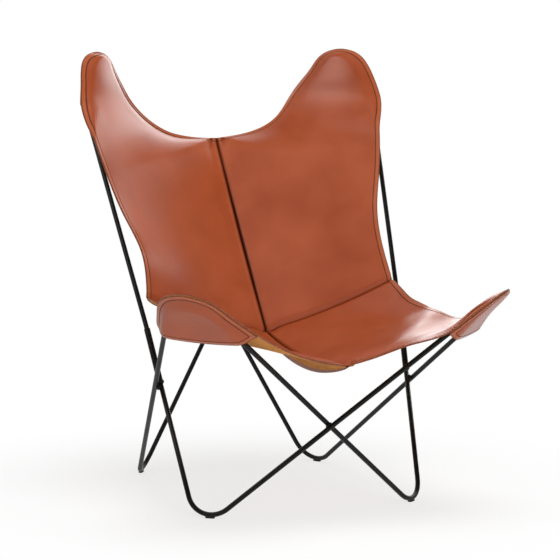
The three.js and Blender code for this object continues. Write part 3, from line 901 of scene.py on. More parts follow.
    def wall(self) -> list[Range]:
        """Draw a socket's section: a tube on its ring, rounded at its upper end.

        Returns:
            Radii and heights.
        """
        bore, r = self.rod_d / 2 + self.socket_clearance, self.socket_d / 2
        low, top, soft = self.ring_l + self.weld_gap, self.socket_l, self.socket_round
        turns = np.linspace(0, math.pi / 2, 6)
        lip = [(r - soft * (1 - math.cos(a)), top - soft * (1 - math.sin(a))) for a in turns]
        return [(bore, low), (r, low), (r, low + 1), (r, top - 2), *lip, (bore, top)]

    def rim(self) -> list[Range]:
        """Draw a weld ring's section, bulging outwards.

        Returns:
            Radii and heights.
        """
        bore, half, soft = self.rod_d / 2 + self.socket_clearance, self.ring_l / 2, self.ring_round
        turns = np.linspace(-math.pi / 2, math.pi / 2, 11)
        bulge = [(self.ring_d / 2 - soft * (1 - math.cos(a)), half * (1 + math.sin(a))) for a in turns]
        return [(bore, 0.0), *bulge, (bore, self.ring_l)]

    def build_welds(self, finishes: Finishes) -> None:
        """Make the weld beads where the rods cross, each a rippled blob of metal.

        Args:
            finishes: The chair's finishes.
        """
        right, left = self.loops[Side.RIGHT], self.loops[Side.LEFT]
        places = {
            "front": (right.front_foot, right.tip, left.front_foot, left.tip),
            "back": (right.back_foot, right.back_joint, left.back_foot, left.back_joint),
        }
        for side in Side:
            own, other = self.loops[side.other], self.loops[side]
            places[f"side_{side.word}"] = (own.front_foot, own.side_joint, other.tip, other.back_foot)
        for place, (a, b, c, d) in places.items():
            shape = self.bead(crossing(a, b, c, d), unit(b - a), unit(d - c))
            first, _, rest = place.partition("_")
            node = f"{first}_weld_{rest}" if rest else f"{first}_weld"
            settle(make_piece(f"bead_{place}", *shape, [finishes.steel]), Slot.STEEL, node)

    def bead(self, middle: Array, run: Array, other: Array) -> tuple[Array, list[Face]]:
        """One weld bead, rippled along the first rod.

        Args:
            middle: The bead's middle.
            run: The first rod's direction.
            other: The second rod's direction.

        Returns:
            Points and faces.
        """
        rings, sides = 18, 28
        pole, lie = unit(np.cross(run, other)), unit(run + other)
        third = np.cross(pole, lie) * self.weld_narrow
        top = pole * self.weld_r * self.weld_flat
        points = [middle + top]
        for i in range(1, rings):
            tilt = math.pi * i / rings
            for j in range(sides):
                a = 2 * math.pi * j / sides
                ripple = 1 + self.weld_ripple * math.sin(7 * a + 3 * tilt)
                r = self.weld_r * ripple * math.sin(tilt)
                points.append(middle + top * math.cos(tilt) + lie * r * math.cos(a) + third * r * math.sin(a))
        points.append(middle - top)
        after = [(j + 1) % sides for j in range(sides)]
        faces: list[Face] = [(0, 1 + j, 1 + n) for j, n in enumerate(after)]
        for k in range(1, 1 + (rings - 2) * sides, sides):
            faces += [(k + j, k + sides + j, k + sides + n, k + n) for j, n in enumerate(after)]
        k, last = 1 + (rings - 2) * sides, len(points) - 1
        faces += [(last, k + n, k + j) for j, n in enumerate(after)]
        return np.array(points), faces

    def build_glides(self, finishes: Finishes) -> None:
        """Make the rounded rubber pads under the feet.

        Args:
            finishes: The chair's finishes.
        """
        for side in Side:
            own, other = self.loops[side.other], self.loops[side]
            for place, legs in (
                ("front", (own.side_joint, own.front_foot, own.tip)),
                ("back", (other.tip, other.back_foot, other.back_joint)),
            ):
                bend = Bend(*legs, self.foot_bend_r)
                drop = unit(UP - bend.normal * bend.normal[2])
                x, y, _ = bend.centre - drop * self.foot_bend_r
                run = np.cross(bend.normal, drop)
                shape = self.pad(vec(x, y, 0), unit(vec(run[0], run[1], 0)))
                piece = make_piece(f"glide_pad_{place}_{side.word}", *shape, [finishes.rubber])
                settle(piece, Slot.RUBBER, f"{place}_glide_{side.word}")

    def pad(self, foot: Array, run: Array) -> tuple[Array, list[Face]]:
        """One glide: a long rounded pad with a soft edge, that grips the rod from below.

        Args:
            foot: The middle of its underside.
            run: Its long direction.

        Returns:
            Points and faces.
        """
        across, top = np.cross(UP, run), self.glide_t + self.glide_lip
        sides, half = 48, (self.glide_l - self.glide_w) / 2
        # Heights with how far the outline is drawn in there.
        levels = [(0.0, 1.0), (0.0, 0.5), (0.35, 0.12), (1.0, 0.0), (top - 0.9, 0.0), (top - 0.25, 0.25), (top, 0.9)]
        points = []
        for height, inset in levels:
            r = self.glide_w / 2 - inset
            for k in range(sides):
                a = 2 * math.pi * k / sides
                x = r * math.cos(a) + math.copysign(half, math.cos(a))
                points.append(foot + run * x + across * r * math.sin(a) + UP * height)
        return np.array(points), ring_faces(len(levels), sides, True)


class Curve:
    """A curve of steady curvature through points, each one unit of position apart."""

    def __init__(self, points: list[Array], start: Array | None = None) -> None:
        """Find the curve's slope at each point.

        Args:
            points: The points, at least two.
            start: The curve's direction at its first point, if it is fixed.
        """
        self.points = np.array(points)
        n = len(self.points)
        step = np.diff(self.points, axis=0)
        self.lengths = np.linalg.norm(step, axis=1)
        step /= self.lengths[:, None]
        matrix, wanted = np.eye(n), np.zeros((n, 3))
        for i in range(1, n - 1):
            before, after = self.lengths[i - 1], self.lengths[i]
            matrix[i, i - 1 : i + 2] = after, 2 * (before + after), before
            wanted[i] = 3 * (after * step[i - 1] + before * step[i])
        matrix[0, :2], wanted[0] = (2, 1), 3 * step[0]
        if start is not None:
            matrix[0, :2], wanted[0] = (1, 0), start
        matrix[-1, -2:], wanted[-1] = (1, 2), 3 * step[-1]
        self.slopes = np.linalg.solve(matrix, wanted)

    def at(self, position: float) -> Array:
        """Find a point on the curve.

        Args:
            position: The position, counted in points.

        Returns:
            The point.
        """
        i = min(int(position), len(self.points) - 2)
        w, (p, q) = position - i, self.points[i : i + 2]
        a, b = self.slopes[i : i + 2] * self.lengths[i]
        return p + a * w + (3 * (q - p) - 2 * a - b) * w**2 + (2 * (p - q) + a + b) * w**3


class EdgeLine:
    """An edge of the leather through key points one station apart, with a corner where a free edge meets a seam."""

    step = 0.01

    def __init__(self, points: list[Array], start: Array, corner: int | None = None) -> None:
        """Lay the curves.

        Args:
            points: The key points.
            start: The edge's direction where it leaves the nose.
            corner: The station of the corner, if there is one.
        """
        self.last = len(points) - 1
        self.corner = self.last if corner is None else corner
        self.free = Curve(points[: self.corner + 1], start)
        self.seam = Curve(points[self.corner :]) if corner is not None else self.free

    def at(self, station: float) -> Array:
        """The point at a station."""
        if station <= self.corner:
            return self.free.at(station)
        return self.seam.at(min(station, self.last) - self.corner)

    def direction(self, station: float) -> Array:
        """The direction of the edge just after a station, or just before its end."""
        station = min(station, self.last - 5 * self.step)
        return unit(self.at(station + 2 * self.step) - self.at(station + self.step))


@dataclass
class PanelPlan:
    """What one panel of the sling is made from, with the rule for how it leaves the rods.

    Stations count the key points along its edges, from the nose.
    """

    inner: EdgeLine
    outer: EdgeLine
    nose: Bend
    rod: Bend
    reach: float
    face: Array
    edge_inner: float
    edge_outer: float
    tip_end: float
    hollow: float
    hollow_from: float
    hollow_skew: float
    seam_depth: float
    mouth_sag: float
    mouth_drop: float
    mouth_slack: float
    outer_inset: float
    mouth_inner: float = 4.0
    mouth_outer: float = 4.0
    mouth_curl: float = 0.0
    edge_drop: float = 0.0
    flare: float = 0.0
    bulge: float = 0.0
    inner_lead: float = 0.0

    @property
    def across(self) -> Array:
        """The direction out of the rods' plane on the sitter's side."""
        return self.nose.normal * np.sign(self.nose.normal @ self.face)


@dataclass
class Grid:
    """A leather sheet's middle surface as a grid of points.

    Each point has its distance from the free edge, how far it is turned under at a seam and how much painted shadow
    it takes beside a turned-up hem; the last two are painted as shade. The rim is a line along the sewn or free edge.
    """

    rows: Array
    edge: Array
    fold: Array
    crease: Array
    rim: Array


@dataclass
class Stitching:
    """Rows of waxed thread along the hems and the pockets' mouths, as long stitches that dip into their holes."""

    pitch: float = 6.0
    length: float = 5.2
    thickness: float = 1.1
    sides: int = 6
    rings: int = 5
    proud: float = 0.1
    apart: float = 1.5
    lines: list[Array] = field(default_factory=list)

    def follow(self, surface: Array, grid: Grid, at: float) -> None:
        """Trace a row of stitches at an even distance from a sheet's free edge.

        Args:
            surface: The sheet's grain side as a grid of points.
            grid: The sheet.
            at: The row's distance from the edge.
        """
        found = []
        for axis in (0, 1):
            size = surface.shape[axis] - 1
            (p, a, f), (q, b, g) = (
                tuple(np.take(part, range(start, start + size), axis) for part in (surface, grid.edge, grid.fold))
                for start in (0, 1)
            )
            cut = ((a < at) != (b < at)) & (np.maximum(f, g) < 0.05)
            t = (at - a[cut]) / (b[cut] - a[cut])
            found.append(p[cut] + (q[cut] - p[cut]) * t[:, None])
        points = np.concatenate(found)
        line: list[Array] = []
        for k in np.argsort(nearest_on(grid.rim, points)[1]):
            if not line or np.linalg.norm(points[k] - line[-1]) > self.apart:
                line.append(points[k])
        self.lines.append(np.array(line))

    def nodes(self, thread: Material) -> bpy.types.NodeTree:
        """Build the tree that sets a stitch at each pitch along the rows.

        Args:
            thread: The thread's finish.

        Returns:
            The tree.
        """
        tree = bpy.data.node_groups.new("hem_stitches", "GeometryNodeTree")
        sizes = [(name, "INPUT", "Float") for name in ("Pitch", "Length", "Thickness")]
        sockets = [("Rows", "INPUT", "Geometry"), *sizes, ("Stitches", "OUTPUT", "Geometry")]
        for name, way, kind in sockets:
            tree.interface.new_socket(name, in_out=way, socket_type=f"NodeSocket{kind}")
        nodes = Nodes(tree)
        given = nodes.add("NodeGroupInput").outputs
        row = nodes.out("GeometryNodeMeshToCurve", {"Mesh": given["Rows"]})
        holes = nodes.out("GeometryNodeResampleCurve", {"Curve": row, "Length": given["Pitch"]}, mode="LENGTH")
        way = nodes.out("GeometryNodeInputTangent")
        turn = nodes.out("FunctionNodeAlignRotationToVector", {"Vector": way}, axis="Z")
        shape = {"Segments": self.sides, "Rings": self.rings, "Radius": 0.5}
        lens = nodes.out("GeometryNodeMeshUVSphere", shape)
        lens = nodes.out("GeometryNodeSetShadeSmooth", {"Geometry": lens})
        thickness = given["Thickness"]
        size = nodes.out("ShaderNodeCombineXYZ", {0: thickness, 1: thickness, 2: given["Length"]})
        placed = {"Points": holes, "Instance": lens, "Rotation": turn, "Scale": size}
        sewn = nodes.out("GeometryNodeInstanceOnPoints", placed)
        real = nodes.out("GeometryNodeRealizeInstances", {0: sewn})
        dyed = nodes.out("GeometryNodeSetMaterial", {"Geometry": real, "Material": thread})
        nodes.add("NodeGroupOutput", {0: dyed})
        return tree

    def build(self, finishes: Finishes) -> None:
        """Sew the rows and turn them to one plain mesh.

        Args:
            finishes: The chair's finishes.
        """
        starts = np.cumsum([0] + [len(line) for line in self.lines])
        edges = [(k, k + 1) for first, line in zip(starts, self.lines) for k in range(first, first + len(line) - 1)]
        rows = bpy.data.meshes.new("stitch_rows")
        rows.from_pydata(packed(np.concatenate(self.lines)), edges, [])
        piece = link("hem_stitches", rows)
        modifier = piece.modifiers.new("stitches", "NODES")
        modifier.node_group = self.nodes(finishes.thread)
        sizes = {"Pitch": self.pitch, "Length": self.length, "Thickness": self.thickness}
        for item in modifier.node_group.interface.items_tree:
            if item.name in sizes:
                modifier[item.identifier] = sizes[item.name] * MM
        depsgraph = bpy.context.evaluated_depsgraph_get()
        plain_mesh = bpy.data.meshes.new_from_object(piece.evaluated_get(depsgraph))
        piece.modifiers.clear()
        piece.data = plain_mesh
        settle(piece, Slot.LEATHER)


@dataclass
class Sling:
    """The leather sling: two back panels, two seat panels and a pocket at each tip.

    Outline points are for the right side. A twist is added on the right and taken away on the left, and a slide
    moves a point along the photograph's line of sight.
    """

    frame: SteelFrame
    leather_t: float = 3.0
    # Seams and folds
    seam_gap: float = 0.4
    seam_touch: float = -0.17
    seam_mouth: float = 3.5
    seam_roll: float = 10.0
    seam_shallow: float = 0.4
    seam_belly: float = 0.35
    seam_swell: float = 0.7
    seam_end_depth: float = 2.5
    seam_join_depth: float = 8.0
    back_seam_depth: float = 13.0
    fin_depth: float = 24.0
    crease_depth: float = 12.0
    crease_hang: Range = (0.5, -0.85)
    crease_near: float = 1.5
    hang_near: float = 1.2
    crease_rows: int = 11
    crease_room: float = 4.0
    crease_shade: float = 0.62
    # Outline of the back, with the shares of a pocket's length or of a seam at which its points lie
    back_inner_at: Range = (0.76, 0.92)
    back_outer_at: float = 0.78
    back_seam_at: Range = (0.38, 0.72)
    top: Range = (398.0, 730.4)
    top_wave: Point = (101.0, 402.0, 741.4)
    top_rise: Point = (160.0, 419.0, 774.0)
    top_twist: float = 6.0
    top_wave_slide: float = 10.0
    crease: Range = (72.0, 333.4)
    hip: Point = (274.0, 37.0, 426.4)
    hip_twist: float = 10.0
    waist: Point = (271.0, 82.0, 505.0)
    waist_slide: float = 2.5
    loin: Point = (285.0, 144.0, 580.0)
    loin_slide: float = -10.0
    flank: Point = (308.0, 185.0, 656.4)
    flank_slide: float = -8.0
    flank_ease: float = 6.0
    rib: Point = (331.5, 233.5, 733.4)
    rib_slide: float = -12.0
    # Outline of the seat, with such shares too
    front_inner_at: Range = (0.75, 0.955)
    front_outer_at: float = 0.79
    seat_seam_at: Point = (0.72, 0.46, 0.21)
    corner_at: float = 0.55
    flare_at: Range = (0.4, 0.75)
    hip_at: float = 0.55
    lip: Range = (-375.0, 313.8)
    lip_wave: Point = (57.0, -386.0, 327.0)
    lip_rise: Point = (120.0, -395.0, 348.0)
    lip_twist: float = 3.0
    lip_reach: float = 46.0
    lip_slide: float = 8.0
    seat_side: Point = (270.0, -78.0, 405.0)
    seat_flare: Point = (284.0, -204.0, 383.0)
    seat_sag: float = 19.0
    corner_dip: float = 10.0
    # How far the leather reaches outside the rods at the tips
    nose_angle: float = math.radians(15)
    cheek_angle: float = math.radians(42)
    front_nose_r: float = 56.0
    front_reach: float = 18.5
    front_leg_in: float = 8.0
    front_leg_out: float = -2.0
    back_reach: float = 26.0
    back_reach_in: float = 24.0
    back_reach_low: float = 33.5
    back_end_in: float = 5.0
    tip_pull: float = 5.5
    inner_pull: float = 9.0
    left_cover: float = 6.0
    left_tuck: float = 8.5
    left_bulge: float = 6.0
    # Heights over the rods' plane; a stretch is a first station and a number of stations
    stand_gap: float = 0.5
    lift_fade: float = 3.0
    front_edge_twist: float = 4.0
    front_corner_drop: float = 3.0
    corner_rise: Range = (1.5, 2.5)
    corner_fall: Range = (4.2, 1.5)
    sewn_until: Range = (3.8, 1.4)
    back_edge_inner: float = 4.0
    back_edge_outer: float = -3.5
    back_outer_twist: float = 0.5
    back_flare: float = 4.0
    flare_twist: float = 2.0
    flare_until: Range = (6.0, 1.0)
    flare_curve: float = 1.2
    flare_side: float = 1.5
    back_bulge: float = 13.0
    bulge_until: Range = (4.5, 2.0)
    back_hollow: float = 15.0
    hollow_twist: float = 7.0
    seat_hollow: float = 20.0
    crease_hollow: float = 11.0
    hollow_span: float = 2.0
    tip_w: float = 140.0
    hem_w: float = 9.8
    hem_lie: float = 2.5
    rod_lie: float = 1.5
    sewn_w: float = 18.0
    # Smoothing inside the edges, and the painted shadow beside a hem that is turned up in full, a dark band in the
    # colour and no fold in the shape
    calm_passes: int = 40
    calm_from: float = 24.0
    calm_fade: float = 30.0
    full_flare: float = 6.0
    crease_at: float = 12.4
    crease_w: float = 3.2
    crease_dark: float = 0.9
    crease_until: Range = (5.5, 1.5)
    # Pockets
    front_pocket_l: float = 222.0
    back_pocket_l: float = 180.0
    pocket_corner_reach: float = 14.0
    pocket_gap: float = 0.9
    pocket_inset: float = 2.0
    left_pocket_inset: float = 5.0
    pocket_rows: int = 34
    mouth_slack: float = 3.0
    mouth_slack_w: float = 25.0
    front_slack: float = 4.0
    front_mouth_curl: float = 6.0
    front_mouth_sag: float = 10.0
    front_mouth_drop: float = 7.0
    front_drop_twist: float = 10.0
    front_mouth_in: float = 3.9
    front_mouth_twist: float = 0.07
    back_mouth_sag: float = 20.0
    back_mouth_drop: float = 8.0
    # The grid: stations of the middle seam's start, rows and columns, with degrees round the nose
    seam_at: int = 7
    rows_per_station: int = 7
    nose_rows: tuple[float, ...] = (1.2, 3, 5.2, 7.6, 10, 12.5)
    edge_steps: tuple[float, ...] = (0, 0.9, 2, 3.3, 4.8, 6.4, 8.2, 10, 12, 14.2, 16, 18)
    middle_steps: int = 20
    short_row: float = 52.0
    skived: float = 0.3

    @property
    def hang(self) -> Array:
        """The direction in which the leather hangs at the crease."""
        return unit(vec(0, *self.crease_hang))

    def at(self, side: Side, point: Point, share: float = 0.0, lift: float = 0.0) -> Array:
        """An outline point on a side, moved by a share of the loops' offset and raised on the right."""
        s = side.value
        return vec(s * point[0], point[1] + s * self.frame.loop_offset * share, point[2] + s * lift)

    def round_tip(self, bend: Bend, reach: float, way: int, cheek: float = 0.0, turn: float = 0.0) -> list[Array]:
        """The key points of an edge round a nose.

        Args:
            bend: The nose's bend.
            reach: How far the leather reaches outside it.
            way: 1 on the nose's outer side, -1 on its inner side.
            cheek: How much further it reaches at the cheek.
            turn: How much further it reaches where the leg begins.

        Returns:
            Three points.
        """
        places = ((self.nose_angle, 0.0), (self.cheek_angle, cheek), (bend.turn, turn))
        return [bend.at(way * angle, bend.radius + reach + more) for angle, more in places]

    def back_plan(self, side: Side) -> PanelPlan:
        """Lay out a back panel.

        Args:
            side: The panel's side.

        Returns:
            The plan.
        """
        s, left = side.value, 1.0 if side is Side.LEFT else 0.0
        loop = self.frame.loops[side.other]
        crown = Bend(loop.shoulder, loop.crown, loop.nape, self.frame.crown_bend_r)
        top, crease = vec(0, *self.top), vec(0, *self.crease)
        reach, length = self.back_reach + s * self.tip_pull, self.back_pocket_l
        inward, low = self.back_reach_in - self.back_reach, self.back_reach_low - self.back_reach
        tuck, swell = self.left_tuck * left, self.left_bulge * left
        inner_reach = self.back_reach + s * self.inner_pull - tuck
        inner = self.round_tip(crown, reach, -1, inward - tuck / 2, inward * 1.5 - tuck) + [
            crown.leg_b(length * self.back_inner_at[0], inner_reach + low / 3),
            crown.leg_b(length * self.back_inner_at[1], inner_reach + low),
            self.at(side, self.top_rise, 0.6, self.top_twist),
            self.at(side, self.top_wave, 0, self.top_twist) + SIGHT * self.top_wave_slide,
            top,
            *(mix(top, crease, t) for t in self.back_seam_at),
            crease,
        ]
        cover = crown.across_a * self.left_cover * left
        end = crown.leg_a(length, reach - self.back_end_in) + cover / 2
        rib = self.at(side, self.rib, 1) + SIGHT * self.rib_slide
        ease = vec(self.flank_ease * left, 0, 0)
        outer = self.round_tip(crown, reach, 1, swell * 0.7, swell) + [
            crown.leg_a(length * self.back_outer_at, reach + swell / 3),
            end,
            mix(end, rib, 0.5) + cover,
            rib,
            self.at(side, self.flank, 0.8) - ease + SIGHT * self.flank_slide,
            self.at(side, self.loin, 0.4) - ease + SIGHT * self.loin_slide,
            self.at(side, self.waist) + SIGHT * self.waist_slide,
            self.at(side, self.hip, 0, self.hip_twist),
        ]
        return PanelPlan(
            inner=EdgeLine(inner, crown.tangent(-self.nose_angle), self.seam_at),
            outer=EdgeLine(outer, crown.tangent(self.nose_angle)),
            nose=crown,
            rod=crown,
            reach=reach,
            face=unit(vec(0, -0.8, 0.6)),
            edge_inner=self.back_edge_inner,
            edge_outer=self.back_edge_outer + s * self.back_outer_twist,
            tip_end=4.5,
            hollow=self.back_hollow - s * self.hollow_twist,
            hollow_from=6.5,
            hollow_skew=1.0,
            seam_depth=self.back_seam_depth,
            mouth_sag=self.back_mouth_sag,
            mouth_drop=self.back_mouth_drop * left,
            mouth_slack=self.mouth_slack,
            outer_inset=self.left_pocket_inset if left else self.pocket_inset,
            flare=self.back_flare - s * self.flare_twist,
            bulge=self.back_bulge,
        )

    def seat_plan(self, side: Side) -> PanelPlan:
        """Lay out a seat panel.

        Args:
            side: The panel's side.

        Returns:
            The plan.
        """
        s, right = side.value, 1.0 if side is Side.RIGHT else 0.0
        loop = self.frame.loops[side]
        legs = (loop.back_foot, loop.tip, loop.front_foot)
        beak = Bend(*legs, self.front_nose_r)
        crease, lip = vec(0, *self.crease), vec(0, *self.lip)
        reach, length = self.front_reach - s * self.tip_pull, self.front_pocket_l
        seam = [mix(crease, lip, t) - UP * self.seat_sag * arch(t) for t in self.seat_seam_at]
        inner = self.round_tip(beak, reach, -1) + [
            beak.leg_b(length * self.front_inner_at[0], reach + self.front_leg_in),
            beak.leg_b(length * self.front_inner_at[1], self.lip_reach) + SIGHT * self.lip_slide,
            self.at(side, self.lip_rise, 0, self.lip_twist),
            self.at(side, self.lip_wave, 0, self.lip_twist),
            lip,
            *seam,
            crease,
        ]
        corner = beak.leg_a(length, self.pocket_corner_reach)
        flare, seat_side = self.at(side, self.seat_flare), self.at(side, self.seat_side)
        hip = self.at(side, self.hip, 0, self.hip_twist)
        outer = self.round_tip(beak, reach, 1) + [
            beak.leg_a(length * self.front_outer_at, reach + self.front_leg_out),
            corner,
            mix(corner, flare, self.corner_at) - UP * self.corner_dip,
            flare,
            *(mix(flare, seat_side, t) for t in self.flare_at),
            seat_side,
            mix(seat_side, hip, self.hip_at),
            hip,
        ]
        return PanelPlan(
            inner=EdgeLine(inner, beak.tangent(-self.nose_angle), self.seam_at),
            outer=EdgeLine(outer, beak.tangent(self.nose_angle)),
            nose=beak,
            rod=Bend(*legs, self.frame.front_bend_r),
            reach=reach,
            face=UP,
            edge_inner=-s * self.front_edge_twist,
            edge_outer=-s * self.front_edge_twist,
            tip_end=4.8,
            hollow=self.seat_hollow,
            hollow_from=6.3,
            hollow_skew=3.0,
            seam_depth=self.fin_depth,
            mouth_sag=self.front_mouth_sag,
            mouth_drop=self.front_mouth_drop + s * self.front_drop_twist,
            mouth_slack=self.mouth_slack + self.front_slack * right,
            outer_inset=self.pocket_inset,
            mouth_inner=self.front_mouth_in + s * self.front_mouth_twist,
            mouth_curl=self.front_mouth_curl,
            edge_drop=self.front_corner_drop * right,
            inner_lead=1.0,
        )

    def row_between(self, a: Array, b: Array) -> tuple[Array, Array]:
        """A row of points from one edge to the other, close together along both.

        Args:
            a: Its inner end.
            b: Its outer end.

        Returns:
            The points, and each one's share of the way.
        """
        length = float(np.linalg.norm(b - a))
        near = np.array(self.edge_steps) * min(1, length / self.short_row)
        middle = np.linspace(near[-1], length - near[-1], self.middle_steps + 1)[1:-1]
        steps = np.concatenate([near, middle, length - near[::-1]])
        return a + np.outer(steps, (b - a) / length), steps / length

    def nose_row(self, plan: PanelPlan, angle: float, inset: float = 0.0) -> tuple[Array, Array]:
        """A row's two ends on the nose's arc, at an angle in degrees to both sides of its middle."""
        r, turn = plan.nose.radius + plan.reach - inset, math.radians(angle)
        return plan.nose.at(-turn, r), plan.nose.at(turn, r)

    def roll_under(self, t: float, depth: float) -> Range:
        """A seam's section, where the leather rounds under to hang beside its neighbour.

        Args:
            t: 0 on the flat leather, 1 at the hanging end.
            depth: How deep it hangs.

        Returns:
            The distance from the seam and the drop.
        """
        shallow, deep = self.leather_t * self.seam_shallow, self.leather_t / 2 + self.seam_touch
        end = mix(shallow, deep, float(smooth(depth / (2 * self.leather_t))))
        u = 1 - t
        away = u**3 * (end + self.seam_roll) + 3 * u**2 * t * (end + self.seam_mouth) + (3 * u * t**2 + t**3) * end
        return away, 3 * u * t**2 * self.seam_belly * depth + t**3 * depth

    def seam_hang(self, full: float, t: float) -> float:
        """How deep a seam hangs a share t along it from its free end: full in the middle, less at its ends."""
        ends = mix(self.seam_end_depth, self.seam_join_depth, t)
        return ends + (full - ends) * max(0.0, math.sin(math.pi * t)) ** self.seam_swell

    def edge_loop(self, plan: PanelPlan) -> Array:
        """A fine line along a panel's free edge, from its inner end round the nose to its outer end.

        Args:
            plan: The panel's plan.

        Returns:
            Points as rows.
        """
        r, half = plan.nose.radius + plan.reach, math.degrees(self.nose_angle)
        inner = [plan.inner.at(x) for x in np.arange(self.seam_at, 0, -0.02)]
        nose = [plan.nose.at(math.radians(a), r) for a in np.arange(-half, half + 0.01, 1)]
        outer = [plan.outer.at(x) for x in np.arange(0.02, plan.outer.last + 0.001, 0.02)]
        return np.array(inner + nose + outer)

    def drape(self, plan: PanelPlan, points: Array, edge: Array, stand: float, edge_height: Array, held: Any) -> Array:
        """How high a layer stands off the rods' plane: on the rod between the legs, down to the hem outside them.

        Args:
            plan: The panel's plan.
            points: Points in the rods' plane.
            edge: Their distances from the free edge.
            stand: The layer's height where it lies on the rod.
            edge_height: Its height at the sewn edge.
            held: 1 where the edge is sewn to the other layer, 0 where it is free.

        Returns:
            Heights.
        """
        out = plan.rod.outside(points)
        sewn = np.maximum(smooth((edge + out) / self.sewn_w), held)
        beyond = np.maximum(out, 0)
        inside = np.clip(edge - self.hem_lie, 0, None)
        share = inside / np.maximum(inside + np.maximum(beyond - self.rod_lie, 0), 1e-6)
        fall = stand - (stand - edge_height) * sewn * (1 - smooth(share))
        over = np.sign(stand) * np.sqrt(np.maximum(stand**2 - beyond**2, 0))
        return np.where((np.abs(over) > np.abs(fall)) & (over * fall > 0), over, fall)

    def outer_side(self, plan: PanelPlan, rows: Array) -> Array:
        """How far points lie to a tip's outer side: 0 on its inner side, 1 on its outer side."""
        return smooth(0.5 + (rows - plan.nose.centre) @ plan.nose.side / self.tip_w)

    def flared(self, plan: PanelPlan, edge: Array, outer: Array) -> Array:
        """How far the hem on the inner side of a tip turns up towards the sitter."""
        hem = np.clip(1 - edge / self.hem_w, 0, 1)
        return plan.flare * hem**self.flare_curve * (1 - outer) ** self.flare_side

    def edge_heights(self, plan: PanelPlan, st: Array, outer: Array) -> Array:
        """How high the seam between panel and pocket stands off the rods' plane, by station and side of the tip."""
        corner = rising(st, *self.corner_rise) * fading(st, *self.corner_fall)
        return plan.edge_inner * (1 - outer) + (plan.edge_outer - plan.edge_drop * corner) * outer

    def lay_panel(self, plan: PanelPlan, side: Side) -> tuple[Array, Array, Array]:
        """Lay a panel's rows straight between its edges, with the middle seam rolled under.

        Args:
            plan: The panel's plan.
            side: Its side.

        Returns:
            The rows, and each point's station and share of the way across.
        """
        last, count = plan.inner.last, len(self.edge_steps)
        base, along, across = [], [], []
        places = [(angle, 0.0) for angle in self.nose_rows]
        places += [(0.0, k / self.rows_per_station) for k in range(last * self.rows_per_station + 1)]
        for angle, st in places:
            a, b = self.nose_row(plan, angle) if angle else (plan.inner.at(st), plan.outer.at(st))
            row, share = self.row_between(a, b)
            if st >= self.seam_at:
                under = unit(np.cross([1.0, 0, 0], plan.inner.direction(st)))
                under = -under if under @ plan.face > 0 else under
                under = unit(mix(under, self.hang, float(rising(st, last - self.hang_near, self.hang_near))))
                depth = self.seam_hang(plan.seam_depth, (st - self.seam_at) / (last - self.seam_at))
                for j in range(count):
                    away, down = self.roll_under(1 - j / (count - 1), depth)
                    row[j] = vec(side.value * away, a[1], a[2]) + under * down
            base.append(row)
            along.append(np.full(len(row), st))
            across.append(share)
        return np.array(base), np.array(along), np.array(across)

    def panel(self, plan: PanelPlan, side: Side) -> Grid:
        """Shape one panel, from its tip to the crease.

        Args:
            plan: The panel's plan.
            side: Its side.

        Returns:
            The panel's middle surface.
        """
        rows, st, w = self.lay_panel(plan, side)
        rim, count, last = self.edge_loop(plan), len(self.edge_steps), plan.inner.last
        edge, _ = nearest_on(rim, rows)
        normal = self.normals(rows)
        normal *= np.sign(normal[len(rows) // 2, count + 1] @ plan.face)
        stand = self.frame.rod_d / 2 + self.leather_t / 2 + self.stand_gap
        outer = self.outer_side(plan, rows)
        sewn = self.edge_heights(plan, st, outer) + (self.leather_t + self.seam_gap) / 2
        lead = plan.inner_lead * (1 - w)
        on_tip = fading(st, plan.tip_end - lead, self.lift_fade / (1 + lead))
        lift = on_tip * self.drape(plan, rows, edge, stand, sewn, fading(st, *self.sewn_until))
        lift += self.flared(plan, edge, outer) * fading(st, *self.flare_until)
        lift += plan.bulge * arch(w) * smooth(st) * fading(st, *self.bulge_until)
        near = rising(st, last - self.crease_near, self.crease_near)
        skew = plan.hollow_skew
        peak = (skew / (skew + 1)) ** skew / (skew + 1)
        hollow = plan.hollow * (1 - near) * w**skew * (1 - w) / peak + self.crease_hollow * near * arch(w)
        lift -= hollow * rising(st, plan.hollow_from, self.hollow_span)
        calm = lift.copy()
        for _ in range(self.calm_passes):
            calm[1:-1] = (calm[:-2] + 2 * calm[1:-1] + calm[2:]) / 4
        lift = mix(lift, calm, rising(edge, self.calm_from, self.calm_fade))
        free = rising(st, plan.tip_end, self.lift_fade)[..., None]
        way = mix(mix(plan.across, normal, free), -self.hang, near[..., None])
        way /= np.linalg.norm(way, axis=2)[..., None]
        rows = rows + way * lift[..., None]
        # A painted shadow in the step beside a turned-up hem on a tip's inner side; the shape has no fold there.
        crease = np.exp(-(((edge - self.crease_at) / self.crease_w) ** 2)) * (1 - outer) ** 2
        crease *= fading(st, *self.crease_until)
        crease *= np.clip(plan.flare / self.full_flare, 0, 1) ** 3 * self.crease_dark
        # How far the middle seam's columns are turned under, painted as shade in the seam.
        fold = np.zeros(edge.shape)
        fold[:, :count] = np.where(st[:, :count] >= self.seam_at, np.linspace(1, 0, count)[None], 0)
        return self.fold_crease(Grid(rows, edge, fold, crease, rim))

